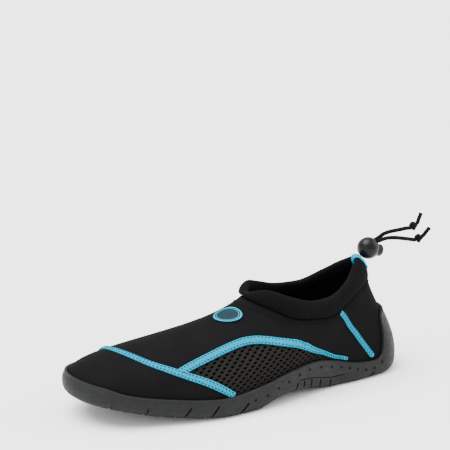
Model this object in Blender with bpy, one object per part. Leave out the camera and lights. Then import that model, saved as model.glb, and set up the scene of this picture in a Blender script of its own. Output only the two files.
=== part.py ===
"""Left water shoe: moulded rubber cup sole, hollow stretch upper, mesh windows, tapes, padded collar, cord lock."""
import math
from collections import namedtuple

import bmesh
import bpy
import numpy as np
from mathutils import Matrix, Vector

# Main sizes in metres
SOLE_LENGTH = 0.275
BALL_WIDTH = 0.098
SOLE_THICKNESS = 0.006
TOE_SPRING = 0.018
ARCH_LIFT = 0.008
CUP_HEIGHT = 0.048
RUBBER_WALL = 0.0032
LIP = 0.0018
STEEP_EASE = 0.0022
GAP = 0.0003
TAPE_LIFT = 0.00045
UPPER_WALL = 0.0025
INSOLE_THICKNESS = 0.003
SEAM_FRONT = 0.0034
SEAM_BACK = 0.1138
SEAM_WIDTH = 0.062
SEAM_HEIGHT = 0.074
RIM_FRONT = 0.0045
RIM_BACK = 0.1046
RIM_WIDTH = 0.057
RIM_HEIGHT = 0.0905
MESH_SINK = 0.0004
MESH_WALL = 0.0016
TAPE_THICKNESS = 0.0009
LIP_CLEARANCE = 0.018
GROOVE_WIDTH = 0.0016
GROOVE_DEPTH = 0.0016
BALL_RADIUS = 0.0087
BUTTON_RADIUS = 0.0049
BUTTON_TRAVEL = 0.003
CORD_RADIUS = 0.0015
KNOT_GAP = 0.0006
STATIONS = 56
LEVELS = 11

# Sole plan and underside: widths are shares of BALL_WIDTH, rises of TOE_SPRING and ARCH_LIFT
SoleRow = namedtuple("SoleRow", "along centre lateral medial toe_rise arch_lateral arch_medial")
SOLE_ROWS = [
    SoleRow(0.00, 0.06, 0.73, 0.73, 1.00, 0.00, 0.00),
    SoleRow(0.05, 0.05, 0.69, 0.66, 0.86, 0.00, 0.00),
    SoleRow(0.10, 0.04, 0.63, 0.61, 0.70, 0.00, 0.00),
    SoleRow(0.20, 0.03, 0.57, 0.53, 0.36, 0.00, 0.00),
    SoleRow(0.34, 0.00, 0.535, 0.50, 0.07, 0.00, 0.00),
    SoleRow(0.46, -0.01, 0.49, 0.43, 0.00, 0.00, 0.05),
    SoleRow(0.54, -0.01, 0.465, 0.40, 0.00, 0.75, 1.00),
    SoleRow(0.63, -0.01, 0.425, 0.385, 0.00, 0.75, 1.10),
    SoleRow(0.73, 0.00, 0.405, 0.40, 0.00, 0.00, 0.35),
    SoleRow(0.79, 0.00, 0.434, 0.43, 0.00, 0.00, 0.00),
    SoleRow(0.87, 0.00, 0.494, 0.49, 0.00, 0.00, 0.00),
    SoleRow(0.95, 0.00, 0.60, 0.60, 0.04, 0.00, 0.00),
    SoleRow(1.00, 0.00, 0.66, 0.66, 0.27, 0.00, 0.00),
]
FLAT_TRIM = 0.0003

# Top edge of the rubber cup, as shares of CUP_HEIGHT
WallRow = namedtuple("WallRow", "along lateral medial")
WALL_ROWS = [
    WallRow(0.000, 0.674, 0.674),
    WallRow(0.050, 0.602, 0.613),
    WallRow(0.100, 0.513, 0.530),
    WallRow(0.200, 0.398, 0.409),
    WallRow(0.310, 0.320, 0.331),
    WallRow(0.380, 0.315, 0.331),
    WallRow(0.460, 0.386, 0.420),
    WallRow(0.560, 0.502, 0.552),
    WallRow(0.640, 0.536, 0.596),
    WallRow(0.730, 0.431, 0.486),
    WallRow(0.800, 0.326, 0.353),
    WallRow(0.865, 0.282, 0.293),
    WallRow(0.890, 0.287, 0.287),
    WallRow(0.905, 0.342, 0.342),
    WallRow(0.920, 0.552, 0.552),
    WallRow(0.940, 0.872, 0.872),
    WallRow(0.970, 0.966, 0.966),
    WallRow(1.000, 0.999, 0.999),
]

# Collar seam and collar rim seen from above: half widths and heights as shares
LoopRow = namedtuple("LoopRow", "along width height")
SEAM_ROWS = [
    LoopRow(0.00, 0.44, 0.972),
    LoopRow(0.10, 0.47, 0.893),
    LoopRow(0.25, 0.51, 0.784),
    LoopRow(0.40, 0.51, 0.756),
    LoopRow(0.55, 0.49, 0.752),
    LoopRow(0.70, 0.44, 0.835),
    LoopRow(0.82, 0.41, 0.911),
    LoopRow(0.92, 0.38, 0.948),
    LoopRow(1.00, 0.36, 1.001),
]
RIM_ROWS = [
    LoopRow(0.00, 0.44, 0.864),
    LoopRow(0.10, 0.47, 0.886),
    LoopRow(0.25, 0.51, 0.821),
    LoopRow(0.40, 0.50, 0.774),
    LoopRow(0.52, 0.47, 0.767),
    LoopRow(0.65, 0.44, 0.782),
    LoopRow(0.80, 0.41, 0.860),
    LoopRow(0.92, 0.33, 0.951),
    LoopRow(1.00, 0.28, 1.010),
]

# Curve of the upper from the footbed to the collar seam at each turn round the last
SkinRow = namedtuple("SkinRow", "turn rise bulge spread flank drop")
SKIN_ROWS = [
    SkinRow(0.00, 0.64, 0.110, 0.32, 0.000, 0.64),
    SkinRow(0.15, 0.51, 0.080, 0.27, 0.022, 0.58),
    SkinRow(0.30, 0.47, 0.040, 0.26, 0.048, 0.45),
    SkinRow(0.45, 0.45, 0.022, 0.24, 0.063, 0.37),
    SkinRow(0.60, 0.43, 0.017, 0.19, 0.061, 0.35),
    SkinRow(0.75, 0.40, 0.020, 0.12, 0.045, 0.33),
    SkinRow(0.90, 0.36, 0.030, 0.05, 0.020, 0.25),
    SkinRow(1.00, 0.34, 0.030, 0.03, 0.000, 0.22),
]

# Tape centre lines on the upper: turn round the last, level up the side, width in metres
TapeRow = namedtuple("TapeRow", "turn level width")
TOE_TAPE = [
    TapeRow(-0.205, 0.235, 0.0040),
    TapeRow(-0.165, 0.300, 0.0042),
    TapeRow(-0.110, 0.362, 0.0042),
    TapeRow(-0.055, 0.399, 0.0040),
    TapeRow(0.000, 0.421, 0.0040),
    TapeRow(0.052, 0.435, 0.0042),
    TapeRow(0.101, 0.435, 0.0044),
    TapeRow(0.150, 0.423, 0.0046),
    TapeRow(0.194, 0.410, 0.0048),
    TapeRow(0.236, 0.392, 0.0050),
    TapeRow(0.272, 0.374, 0.0052),
    TapeRow(0.308, 0.350, 0.0054),
    TapeRow(0.341, 0.318, 0.0055),
    TapeRow(0.374, 0.266, 0.0055),
    TapeRow(0.402, 0.205, 0.0052),
    TapeRow(0.415, 0.170, 0.0048),
]
SIDE_TAPE = [
    TapeRow(0.2455, 0.440, 0.0058),
    TapeRow(0.2450, 0.514, 0.0060),
    TapeRow(0.2460, 0.592, 0.0062),
    TapeRow(0.2490, 0.665, 0.0063),
    TapeRow(0.2590, 0.730, 0.0064),
    TapeRow(0.2840, 0.768, 0.0064),
    TapeRow(0.3300, 0.784, 0.0064),
    TapeRow(0.3860, 0.766, 0.0064),
    TapeRow(0.4520, 0.700, 0.0060),
    TapeRow(0.5000, 0.610, 0.0056),
    TapeRow(0.5470, 0.508, 0.0045),
    TapeRow(0.5850, 0.418, 0.0038),
    TapeRow(0.6220, 0.340, 0.0032),
    TapeRow(0.6540, 0.282, 0.0028),
    TapeRow(0.6790, 0.228, 0.0026),
    TapeRow(0.6860, 0.212, 0.0026),
]
INNER_SIDE_FRONT = [
    TapeRow(0.2900, 0.190, 0.0050),
    TapeRow(0.2750, 0.300, 0.0054),
    TapeRow(0.2620, 0.430, 0.0058),
    TapeRow(0.2540, 0.550, 0.0062),
    TapeRow(0.2530, 0.650, 0.0063),
]
REAR_TAPE = [
    TapeRow(0.5810, 0.970, 0.0042),
    TapeRow(0.6200, 0.840, 0.0042),
    TapeRow(0.6575, 0.700, 0.0042),
    TapeRow(0.7000, 0.515, 0.0042),
    TapeRow(0.7315, 0.345, 0.0042),
    TapeRow(0.7580, 0.200, 0.0042),
    TapeRow(0.7680, 0.150, 0.0042),
]

# Mesh windows: front edge column and lower edge before the sole lip takes over
PanelRow = namedtuple("PanelRow", "turn low high")
LATERAL_PANEL = [
    PanelRow(0.2480, 0.392, 0.660),
    PanelRow(0.2600, 0.383, 0.730),
    PanelRow(0.2840, 0.370, 0.768),
    PanelRow(0.3080, 0.352, 0.778),
    PanelRow(0.3410, 0.320, 0.784),
    PanelRow(0.3740, 0.268, 0.773),
    PanelRow(0.4050, 0.190, 0.752),
    PanelRow(0.4300, 0.120, 0.726),
    PanelRow(0.4700, 0.130, 0.668),
    PanelRow(0.5100, 0.180, 0.590),
    PanelRow(0.5470, 0.215, 0.508),
    PanelRow(0.5850, 0.225, 0.418),
    PanelRow(0.6220, 0.215, 0.340),
    PanelRow(0.6480, 0.200, 0.290),
]
MEDIAL_PANEL = [
    PanelRow(0.2900, 0.120, 0.768),
    PanelRow(0.3080, 0.110, 0.776),
    PanelRow(0.3410, 0.110, 0.784),
    PanelRow(0.3740, 0.110, 0.773),
    PanelRow(0.4050, 0.115, 0.752),
    PanelRow(0.4300, 0.125, 0.726),
    PanelRow(0.4700, 0.150, 0.668),
    PanelRow(0.5100, 0.200, 0.590),
    PanelRow(0.5470, 0.235, 0.508),
    PanelRow(0.5850, 0.245, 0.418),
    PanelRow(0.6220, 0.235, 0.340),
    PanelRow(0.6480, 0.215, 0.290),
]

# Puffy collar section: share of the way from seam to rim, offset outward in metres
CUFF_SECTION = [
    (0.02, 0.0000),
    (0.14, 0.0016),
    (0.42, 0.0025),
    (0.72, 0.0021),
    (0.93, 0.0006),
    (1.00, -0.0018),
    (0.90, -0.0040),
    (0.50, -0.0048),
    (0.02, -0.0026),
]

# Tread grooves: shares of SOLE_LENGTH from the toe and of BALL_WIDTH, plus towards the inner side
TREAD_GROOVES = [
    [(0.128, -0.470), (0.174, -0.242)],
    [(0.212, -0.540), (0.254, -0.271)],
    [(0.291, -0.575), (0.337, -0.285)],
    [(0.372, -0.580), (0.413, -0.309)],
    [(0.480, -0.560), (0.493, -0.318)],
    [(0.060, -0.330), (0.086, -0.177), (0.176, -0.234), (0.255, -0.263), (0.337, -0.285), (0.413, -0.309),
     (0.493, -0.318)],
    [(0.093, 0.460), (0.090, 0.320), (0.182, 0.312), (0.279, 0.315), (0.365, 0.276), (0.433, 0.266), (0.505, 0.198)],
    [(0.198, 0.520), (0.182, 0.312)],
    [(0.292, 0.540), (0.279, 0.315)],
    [(0.380, 0.520), (0.365, 0.276)],
    [(0.450, 0.480), (0.433, 0.266)],
    [(0.086, -0.177), (0.058, -0.020), (0.090, 0.150), (0.090, 0.320)],
    [(0.176, -0.234), (0.131, -0.012), (0.178, 0.181), (0.140, 0.316)],
    [(0.255, -0.263), (0.215, -0.059), (0.264, 0.163), (0.217, 0.314)],
    [(0.337, -0.285), (0.301, -0.098), (0.348, 0.136), (0.312, 0.298)],
    [(0.413, -0.309), (0.389, -0.101), (0.440, 0.149), (0.415, 0.267)],
    [(0.493, -0.318), (0.504, -0.053), (0.528, 0.105), (0.505, 0.198)],
    [(0.739, -0.450), (0.734, -0.242), (0.770, -0.198), (0.888, -0.061), (0.943, 0.057), (0.920, 0.310)],
    [(0.734, -0.242), (0.735, 0.070), (0.760, 0.420)],
    [(0.800, -0.440), (0.815, -0.150)],
    [(0.865, -0.430), (0.870, -0.080)],
    [(0.826, 0.420), (0.826, 0.200), (0.900, 0.190), (0.943, 0.057)],
    [(0.780, -0.170), (0.775, 0.030), (0.826, 0.200)],
    [(0.950, -0.330), (0.925, -0.060), (0.943, 0.057)],
]
ARCH_RIBS = [
    [(0.545, -0.560), (0.545, -0.300)],
    [(0.580, -0.560), (0.580, -0.300)],
    [(0.615, -0.560), (0.615, -0.300)],
    [(0.650, -0.560), (0.650, -0.300)],
    [(0.685, -0.560), (0.685, -0.300)],
    [(0.560, 0.110), (0.590, 0.560)],
    [(0.600, 0.060), (0.635, 0.560)],
    [(0.640, 0.010), (0.680, 0.560)],
]

# Slashes in the outside of the wall: turn and height above the tread at both ends
WallCut = namedtuple("WallCut", "turn_a height_a turn_b height_b")
WALL_CUTS = [
    WallCut(0.3469, 0.0070, 0.3320, 0.0010),
    WallCut(0.3978, 0.0086, 0.3817, 0.0010),
    WallCut(0.4560, 0.0070, 0.4372, 0.0010),
    WallCut(0.2614, 0.0050, 0.2560, 0.0008),
    WallCut(0.1760, 0.0045, 0.1700, 0.0008),
    WallCut(0.7673, 0.0050, 0.7462, 0.0008),
    WallCut(0.5593, 0.0072, 0.5570, 0.0012),
    WallCut(0.5760, 0.0076, 0.5755, 0.0010),
    WallCut(0.5931, 0.0080, 0.5936, 0.0010),
    WallCut(0.6157, 0.0077, 0.6162, 0.0010),
    WallCut(0.6417, 0.0075, 0.6421, 0.0010),
]

# Webbing loop's way over the collar: share of the way from seam to rim, offset outward in metres
LOOP_PATH = [
    (0.36, 0.0025),
    (0.55, 0.0025),
    (0.72, 0.0021),
    (0.93, 0.0006),
    (1.00, -0.0018),
    (0.90, -0.0040),
    (0.70, -0.0045),
    (0.50, -0.0048),
]

# Badge place, cord lock's rest on the loop, and cord routes from the middle of the lock's ball
BADGE_CENTRE = (0.0680, 0.874)
BADGE_HALF = (0.0108, 0.0073)
BADGE_TURN = -0.62
BADGE_THICKNESS = 0.0007
LOCK_REST = 0.120
TOGGLE_AXIS = (0.96, 0.0, -0.28)
UPPER_STRAND = [
    (0.00722, 0.00178, 0.00514),
    (0.01124, 0.00220, 0.00646),
    (0.01604, 0.00240, 0.00881),
    (0.02198, 0.00220, 0.01010),
    (0.02845, 0.00170, 0.01065),
    (0.03465, 0.00080, 0.01132),
    (0.03807, 0.00030, 0.01161),
    (0.04042, 0.00000, 0.01157),
]
UPPER_TAIL = [
    (0.04649, 0.00000, 0.01422),
    (0.04749, 0.00000, 0.01507),
    (0.04868, 0.00000, 0.01815),
    (0.05083, 0.00000, 0.02276),
]
LOWER_STRAND = [
    (0.00731, -0.00180, 0.00501),
    (0.01023, -0.00230, 0.00572),
    (0.01532, -0.00250, 0.00662),
    (0.02229, -0.00230, 0.00618),
    (0.02957, -0.00180, 0.00483),
    (0.03714, -0.00100, 0.00308),
    (0.04217, -0.00040, 0.00186),
    (0.04565, 0.00000, 0.00111),
]
LOWER_TAIL = [
    (0.05272, 0.00000, 0.00299),
    (0.05372, 0.00000, 0.00362),
    (0.05610, 0.00000, 0.00590),
    (0.05975, 0.00000, 0.00934),
]
UP = np.array([0.0, 0.0, 1.0])


def clear_scene():
    """Start from an empty file."""
    for item in list(bpy.data.objects):
        bpy.data.objects.remove(item, do_unlink=True)


def spline(knots, values, at):
    """Smooth curve through table values, flat at both ends."""
    knots = np.asarray(knots, float)
    values = np.asarray(values, float)
    at = np.asarray(at, float)
    slopes = np.zeros(len(knots))
    slopes[1:-1] = (values[2:] - values[:-2]) / (knots[2:] - knots[:-2])
    cell = np.clip(np.searchsorted(knots, at) - 1, 0, len(knots) - 2)
    span = knots[cell + 1] - knots[cell]
    u = (at - knots[cell]) / span
    start = (2 * u**3 - 3 * u**2 + 1) * values[cell] + (u**3 - 2 * u**2 + u) * span * slopes[cell]
    end = (3 * u**2 - 2 * u**3) * values[cell + 1] + (u**3 - u**2) * span * slopes[cell + 1]
    return start + end


def half(phi):
    """Turn measured from the toe on either side, and the side sign (minus is the outer side)."""
    phi = np.mod(np.asarray(phi, float), 2 * math.pi)
    outer = phi <= math.pi
    return np.where(outer, phi, 2 * math.pi - phi), np.where(outer, -1.0, 1.0)


def column(rows, name, near):
    """One named column of a table by share along the foot, smoothed."""
    knots = [math.acos(1 - 2 * row.along) for row in rows]
    return spline(knots, [getattr(row, name) for row in rows], near)


def by_side(rows, outer_name, inner_name, phi):
    """Table value for the outer or the inner side."""
    near, side = half(phi)
    return np.where(side < 0, column(rows, outer_name, near), column(rows, inner_name, near))


def plan(phi):
    """Sole outline seen from above."""
    near, side = half(phi)
    width = by_side(SOLE_ROWS, "lateral", "medial", phi) * BALL_WIDTH
    centre = by_side(SOLE_ROWS, "centre", "centre", phi) * BALL_WIDTH
    x = -np.cos(near) * SOLE_LENGTH / 2
    y = centre + side * np.sin(near) * width
    return np.stack([x, y], -1)


def plan_normal(phi):
    """Outward direction of the outline, level."""
    step = 1e-3
    run = plan(phi + step) - plan(phi - step)
    out = np.stack([run[..., 1], -run[..., 0]], -1)
    out = out / np.linalg.norm(out, axis=-1, keepdims=True)
    return out * np.sign((out * plan(phi)).sum(-1, keepdims=True))


def tread_height(phi):
    """Height of the underside at the outline, pressed flat where it stands."""
    toe = by_side(SOLE_ROWS, "toe_rise", "toe_rise", phi) * TOE_SPRING
    arch = by_side(SOLE_ROWS, "arch_lateral", "arch_medial", phi) * ARCH_LIFT
    return np.maximum(toe + arch - FLAT_TRIM, 0.0)


def wall_top(phi):
    """Height of the rubber cup's lip."""
    return by_side(WALL_ROWS, "lateral", "medial", phi) * CUP_HEIGHT


def loop(rows, front, back, width, height, phi):
    """A closed collar line."""
    near, side = half(phi)
    wide = column(rows, "width", near) * width
    tall = column(rows, "height", near) * height
    x = front + (back - front) * (1 - np.cos(near)) / 2
    return np.stack([x, side * np.sin(near) * wide, tall], -1)


def seam(phi):
    """Line where the collar is sewn to the upper."""
    return loop(SEAM_ROWS, SEAM_FRONT, SEAM_BACK, SEAM_WIDTH, SEAM_HEIGHT, phi)


def rim(phi):
    """Crest of the collar."""
    return loop(RIM_ROWS, RIM_FRONT, RIM_BACK, RIM_WIDTH, RIM_HEIGHT, phi)


def foot(phi):
    """Foot of the upper, inside the rubber cup."""
    inset = plan(phi) - plan_normal(phi) * (RUBBER_WALL + GAP)
    height = tread_height(phi) + SOLE_THICKNESS + GAP
    return np.concatenate([inset, height[..., None]], -1)


def skin_column(name, phi):
    """One column of the skin table."""
    near, _ = half(phi)
    knots = [row.turn * math.pi for row in SKIN_ROWS]
    return spline(knots, [getattr(row, name) for row in SKIN_ROWS], near)[..., None]


def bare_skin(phi, level):
    """Outside of the upper."""
    low_end = foot(phi)
    top_end = seam(phi)
    level = np.asarray(level, float)[..., None]
    outward = np.concatenate([plan_normal(phi), np.zeros(np.shape(phi) + (1,))], -1)
    reach = low_end - top_end
    across = reach * np.array([1.0, 1.0, 0.0])
    height = -reach[..., 2:3]
    low = low_end + UP * height * skin_column("rise", phi)
    low = low + outward * skin_column("bulge", phi) * BALL_WIDTH
    high = top_end + across * skin_column("spread", phi) - UP * height * skin_column("drop", phi)
    high = high + outward * skin_column("flank", phi) * BALL_WIDTH
    first = low_end * (1 - level) ** 3 + 3 * low * level * (1 - level) ** 2
    return first + 3 * high * level**2 * (1 - level) + top_end * level**3


def skin_normal(phi, level):
    """Outward direction of the upper."""
    step = 1e-3
    level = np.asarray(level, float)
    round_run = bare_skin(phi + step, level) - bare_skin(phi - step, level)
    up_run = bare_skin(phi, np.minimum(level + step, 1)) - bare_skin(phi, np.maximum(level - step, 0))
    out = np.cross(round_run, up_run)
    return out / np.linalg.norm(out, axis=-1, keepdims=True)


def skin(phi, level, out=0.0):
    """Point of the upper, moved outward by a distance."""
    phi = np.asarray(phi, float)
    level = np.asarray(level, float)
    phi, level = np.broadcast_arrays(phi, level)
    return bare_skin(phi, level) + skin_normal(phi, level) * np.broadcast_to(out, phi.shape)[..., None]


def lip_level(phi):
    """Level on the upper at the height of the rubber lip."""
    phi = np.asarray(phi, float)
    low = np.zeros(phi.shape)
    high = np.ones(phi.shape)
    for _ in range(26):
        middle = (low + high) / 2
        under = bare_skin(phi, middle)[..., 2] < wall_top(phi)
        low = np.where(under, middle, low)
        high = np.where(under, high, middle)
    return low


def beside(phi, level, sideways):
    """Skin place a given vector away from another, to first order."""
    step = 1e-3
    round_run = (bare_skin(phi + step, level) - bare_skin(phi - step, level)) / (2 * step)
    up_run = (bare_skin(phi, level + step) - bare_skin(phi, level - step)) / (2 * step)
    a = (round_run * round_run).sum(-1)
    b = (round_run * up_run).sum(-1)
    c = (up_run * up_run).sum(-1)
    e = (round_run * sideways).sum(-1)
    f = (up_run * sideways).sum(-1)
    fall = a * c - b * b
    return phi + (e * c - f * b) / fall, level + (f * a - e * b) / fall


def material(name, colour, roughness):
    """Plain material of one piece."""
    made = bpy.data.materials.new(name)
    made.use_nodes = True
    shader = made.node_tree.nodes["Principled BSDF"]
    shader.inputs["Base Color"].default_value = (*colour, 1.0)
    shader.inputs["Roughness"].default_value = roughness
    made.diffuse_color = (*colour, 1.0)
    return made


def make(name, points, faces, colour, roughness, hidden=False):
    """Closed mesh object from points and faces."""
    mesh = bpy.data.meshes.new(name)
    mesh.from_pydata([tuple(map(float, point)) for point in points], [], faces)
    tidy(mesh)
    item = bpy.data.objects.new(name, mesh)
    bpy.context.scene.collection.objects.link(item)
    if hidden:
        item.hide_render = True
        item.display_type = "WIRE"
    else:
        mesh.materials.append(material(name, colour, roughness))
    return item


def tidy(mesh, merge=0.000001):
    """Merge doubled points and turn every face outward."""
    work = bmesh.new()
    work.from_mesh(mesh)
    bmesh.ops.remove_doubles(work, verts=work.verts, dist=merge)
    bmesh.ops.dissolve_degenerate(work, edges=work.edges, dist=merge)
    bmesh.ops.triangulate(work, faces=[face for face in work.faces if len(face.verts) > 4])
    bmesh.ops.recalc_face_normals(work, faces=work.faces)
    if work.calc_volume(signed=True) < 0:
        bmesh.ops.reverse_faces(work, faces=work.faces)
    work.to_mesh(mesh)
    work.free()


def grid_faces(rows, columns, start, wrap_rows=False, wrap_columns=False):
    """Faces of a grid of points stored row by row."""
    faces = []
    for i in range(rows if wrap_rows else rows - 1):
        for j in range(columns if wrap_columns else columns - 1):
            k = (i + 1) % rows
            m = (j + 1) % columns
            faces.append([start + i * columns + j, start + k * columns + j, start + k * columns + m, start + i * columns + m])
    return faces


def sheet(name, outer, inner, wrap, colour, roughness, hidden=False):
    """Solid sheet between an outer and an inner grid of points."""
    rows, columns = outer.shape[:2]
    count = rows * columns
    points = list(outer.reshape(-1, 3)) + list(inner.reshape(-1, 3))
    faces = grid_faces(rows, columns, 0, wrap)
    faces = faces + grid_faces(rows, columns, count, wrap)
    for i in range(rows if wrap else rows - 1):
        k = (i + 1) % rows
        for j in (0, columns - 1):
            a = i * columns + j
            b = k * columns + j
            faces.append([a, b, b + count, a + count])
    if not wrap:
        for i in (0, rows - 1):
            for j in range(columns - 1):
                a = i * columns + j
                faces.append([a, a + 1, a + 1 + count, a + count])
    return make(name, points, faces, colour, roughness, hidden)


def ladder(low_row, high_row, cells):
    """Points from the outer side to the inner side of the foot, in straight rungs."""
    share = np.linspace(0, 1, cells + 1)[1:-1]
    return low_row[None, :] + (high_row - low_row)[None, :] * share[:, None]


def bridge(points, faces, edge, cells):
    """Fill a ring of edge points with rungs from side to side."""
    count = len(edge)
    middle = count // 2
    rungs = []
    for i in range(1, middle):
        a = edge[i]
        b = edge[count - i]
        start = len(points)
        points.extend(ladder(points[a], points[b], cells))
        rungs.append([a] + list(range(start, start + cells - 1)) + [b])
    for rung, following in zip(rungs[:-1], rungs[1:]):
        for j in range(cells):
            faces.append([rung[j], following[j], following[j + 1], rung[j + 1]])
    for rung, tip in ((rungs[0], edge[0]), (rungs[-1], edge[middle])):
        for j in range(cells):
            faces.append([tip, rung[j], rung[j + 1]])


def shoe_turns(count):
    """Even turns round the shoe."""
    return np.arange(count) * 2 * math.pi / count


def build_upper():
    """Hollow upper with an open foot and collar."""
    phi = shoe_turns(STATIONS)[:, None]
    level = np.linspace(0, 1, LEVELS)[None, :]
    outer = skin(phi, level)
    inner = skin(phi, level, -UPPER_WALL)
    base = foot(phi[:, 0])
    inner[:, 0, :2] = base[:, :2] - plan_normal(phi[:, 0]) * UPPER_WALL
    inner[:, 0, 2] = base[:, 2]
    inner[:, -1] = cuff_point(phi[:, 0], 0.0, -UPPER_WALL) - UP * GAP
    return sheet("upper", outer, inner, True, (0.012, 0.012, 0.013), 0.9)


def build_sole():
    """Rubber cup sole: footbed, wall up to the lip, rounded lower edge and underside."""
    phi = shoe_turns(STATIONS)
    top = lip_level(phi)
    out2 = plan_normal(phi)
    edge = plan(phi)
    tread = tread_height(phi)
    shares = (1.0, 0.75, 0.5, 0.25)
    walls = []
    bed = np.concatenate([edge - out2 * RUBBER_WALL, (tread + SOLE_THICKNESS)[:, None]], -1)
    walls.append(bed)
    steep = np.minimum(np.abs(np.roll(top, -1) - np.roll(top, 1)) * STEEP_EASE, LIP * 0.5)
    for level in np.linspace(0, 1, LEVELS)[1:]:
        walls.append(skin(phi, np.minimum(level, top), GAP + steep))
    walls.append(skin(phi, top + 0.008, GAP + LIP * 0.5))
    for share in shares:
        walls.append(skin(phi, top * share, GAP + LIP + (RUBBER_WALL - LIP) * (1 - share)))
    for inset, lift in ((0.0, SOLE_THICKNESS + GAP), (0.0008, 0.0030), (0.0030, 0.0006), (0.0050, 0.0)):
        walls.append(np.concatenate([edge - out2 * inset, (tread + lift)[:, None]], -1))
    profile = np.stack(walls, 1)
    rows, columns = profile.shape[:2]
    points = list(profile.reshape(-1, 3))
    faces = grid_faces(rows, columns, 0, True)
    bridge(points, faces, [i * columns for i in range(rows)], 2)
    bridge(points, faces, [i * columns + columns - 1 for i in range(rows)], 4)
    return make("outsole", points, faces, (0.075, 0.075, 0.072), 0.7)


def tread_at(x, y):
    """Height of the underside at a place."""
    near = math.acos(max(-1.0, min(1.0, -2 * x / SOLE_LENGTH)))
    outer = plan(np.array(near))
    inner = plan(np.array(2 * math.pi - near))
    share = (y - outer[1]) / max(inner[1] - outer[1], 1e-6)
    share = max(0.0, min(1.0, share))
    low = tread_height(np.array(near))
    high = tread_height(np.array(2 * math.pi - near))
    return float(low + (high - low) * share)


def swept_cutter(points, depth_to, width, inside, outside):
    """Box swept along points, from a depth inside the surface to a distance outside it."""
    points = np.asarray(points, float)
    depth_to = np.asarray(depth_to, float)
    tangents = np.gradient(points, axis=0)
    tangents = tangents / np.linalg.norm(tangents, axis=1, keepdims=True)
    sides = np.cross(depth_to, tangents)
    sides = sides / np.linalg.norm(sides, axis=1, keepdims=True)
    a = points + sides * width / 2 + depth_to * inside
    b = points - sides * width / 2 + depth_to * inside
    c = points - sides * width / 2 - depth_to * outside
    d = points + sides * width / 2 - depth_to * outside
    grid = np.stack([a, b, c, d], 1)
    count = len(points)
    faces = grid_faces(count, 4, 0, False, True)
    faces.append([0, 1, 2, 3])
    faces.append([4 * count - 4, 4 * count - 3, 4 * count - 2, 4 * count - 1])
    return make("cutter", list(grid.reshape(-1, 3)), faces, None, None, True)


def groove_points(path, step):
    """Places along a tread groove on the underside."""
    places = []
    for (along_a, across_a), (along_b, across_b) in zip(path[:-1], path[1:]):
        a = np.array([(along_a - 0.5) * SOLE_LENGTH, across_a * BALL_WIDTH])
        b = np.array([(along_b - 0.5) * SOLE_LENGTH, across_b * BALL_WIDTH])
        pieces = max(1, int(np.linalg.norm(b - a) / step))
        for k in range(pieces):
            places.append(a + (b - a) * k / pieces)
    places.append(b)
    return [(x, y, tread_at(x, y)) for x, y in places]


def subtract(target, cutters, merge=0.000001):
    """Take joined cutters out of a target with one exact cut."""
    bpy.ops.object.select_all(action="DESELECT")
    for cutter in cutters:
        cutter.select_set(True)
    bpy.context.view_layer.objects.active = cutters[0]
    if len(cutters) > 1:
        bpy.ops.object.join()
    cutter = bpy.context.view_layer.objects.active
    cut = target.modifiers.new("cut", "BOOLEAN")
    cut.operation = "DIFFERENCE"
    cut.solver = "EXACT"
    cut.use_self = True
    cut.object = cutter
    bpy.context.view_layer.objects.active = target
    bpy.ops.object.modifier_apply(modifier=cut.name)
    bpy.data.objects.remove(cutter, do_unlink=True)
    tidy(target.data, merge)


def cut_tread(sole):
    """Cut the lug grooves, arch ribs and side slashes."""
    down = (0.0, 0.0, 1.0)
    cutters = []
    for number, path in enumerate(TREAD_GROOVES):
        places = groove_points(path, 0.030)
        depth = GROOVE_DEPTH * (1 + 0.017 * (number % 9))
        cutters.append(swept_cutter(places, [down] * len(places), GROOVE_WIDTH, depth, 0.004 + 0.1 * depth))
    for path in ARCH_RIBS:
        places = groove_points(path, 0.040)
        cutters.append(swept_cutter(places, [down] * len(places), GROOVE_WIDTH * 0.8, GROOVE_DEPTH * 0.7, 0.0035))
    for cut in WALL_CUTS:
        turns = np.array([cut.turn_a, cut.turn_b]) * math.pi
        heights = np.array([cut.height_a, cut.height_b]) + tread_height(turns)
        places = np.concatenate([plan(turns), heights[:, None]], -1)
        inward = np.concatenate([-plan_normal(turns), np.zeros((2, 1))], -1)
        cutters.append(swept_cutter(places, inward, 0.0012, 0.0014, 0.004))
    subtract(sole, cutters)


def build_insole():
    """Flat foam insole inside the upper."""
    phi = shoe_turns(STATIONS)
    inset = RUBBER_WALL + GAP + UPPER_WALL + GAP * 2
    edge = plan(phi) - plan_normal(phi) * inset
    below = np.array([tread_at(x, y) for x, y in edge])
    low = np.maximum(below, tread_height(phi)) + SOLE_THICKNESS + GAP * 2
    bottom = np.concatenate([edge, low[:, None]], -1)
    top = bottom + UP * INSOLE_THICKNESS
    count = len(phi)
    points = list(bottom) + list(top)
    faces = [[i, (i + 1) % count, (i + 1) % count + count, i + count] for i in range(count)]
    bridge(points, faces, list(range(count)), 2)
    bridge(points, faces, list(range(count, 2 * count)), 2)
    return make("insole", points, faces, (0.05, 0.05, 0.052), 0.95)


def panel_grid(rows, side, shrink):
    """Turn and level grids of a mesh window, shrunk inward by a distance."""
    turn = np.array([row.turn for row in rows]) * math.pi
    low = np.array([row.low for row in rows])
    high = np.array([row.high for row in rows])
    phi = side * turn
    step = 1e-3
    low_climb = np.linalg.norm(bare_skin(phi, low + step) - bare_skin(phi, low), axis=-1) / step
    high_climb = np.linalg.norm(bare_skin(phi, high + step) - bare_skin(phi, high), axis=-1) / step
    run = np.linalg.norm(bare_skin(phi + step, low) - bare_skin(phi, low), axis=-1) / step
    low = low + shrink / low_climb
    high = high - shrink / high_climb
    turn[0] = turn[0] + shrink / run[0]
    turn[-1] = turn[-1] - shrink / run[-1]
    share = np.linspace(0, 1, 5)[None, :]
    level = low[:, None] + (high - low)[:, None] * share
    return np.broadcast_to((side * turn)[:, None], level.shape), level


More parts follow.
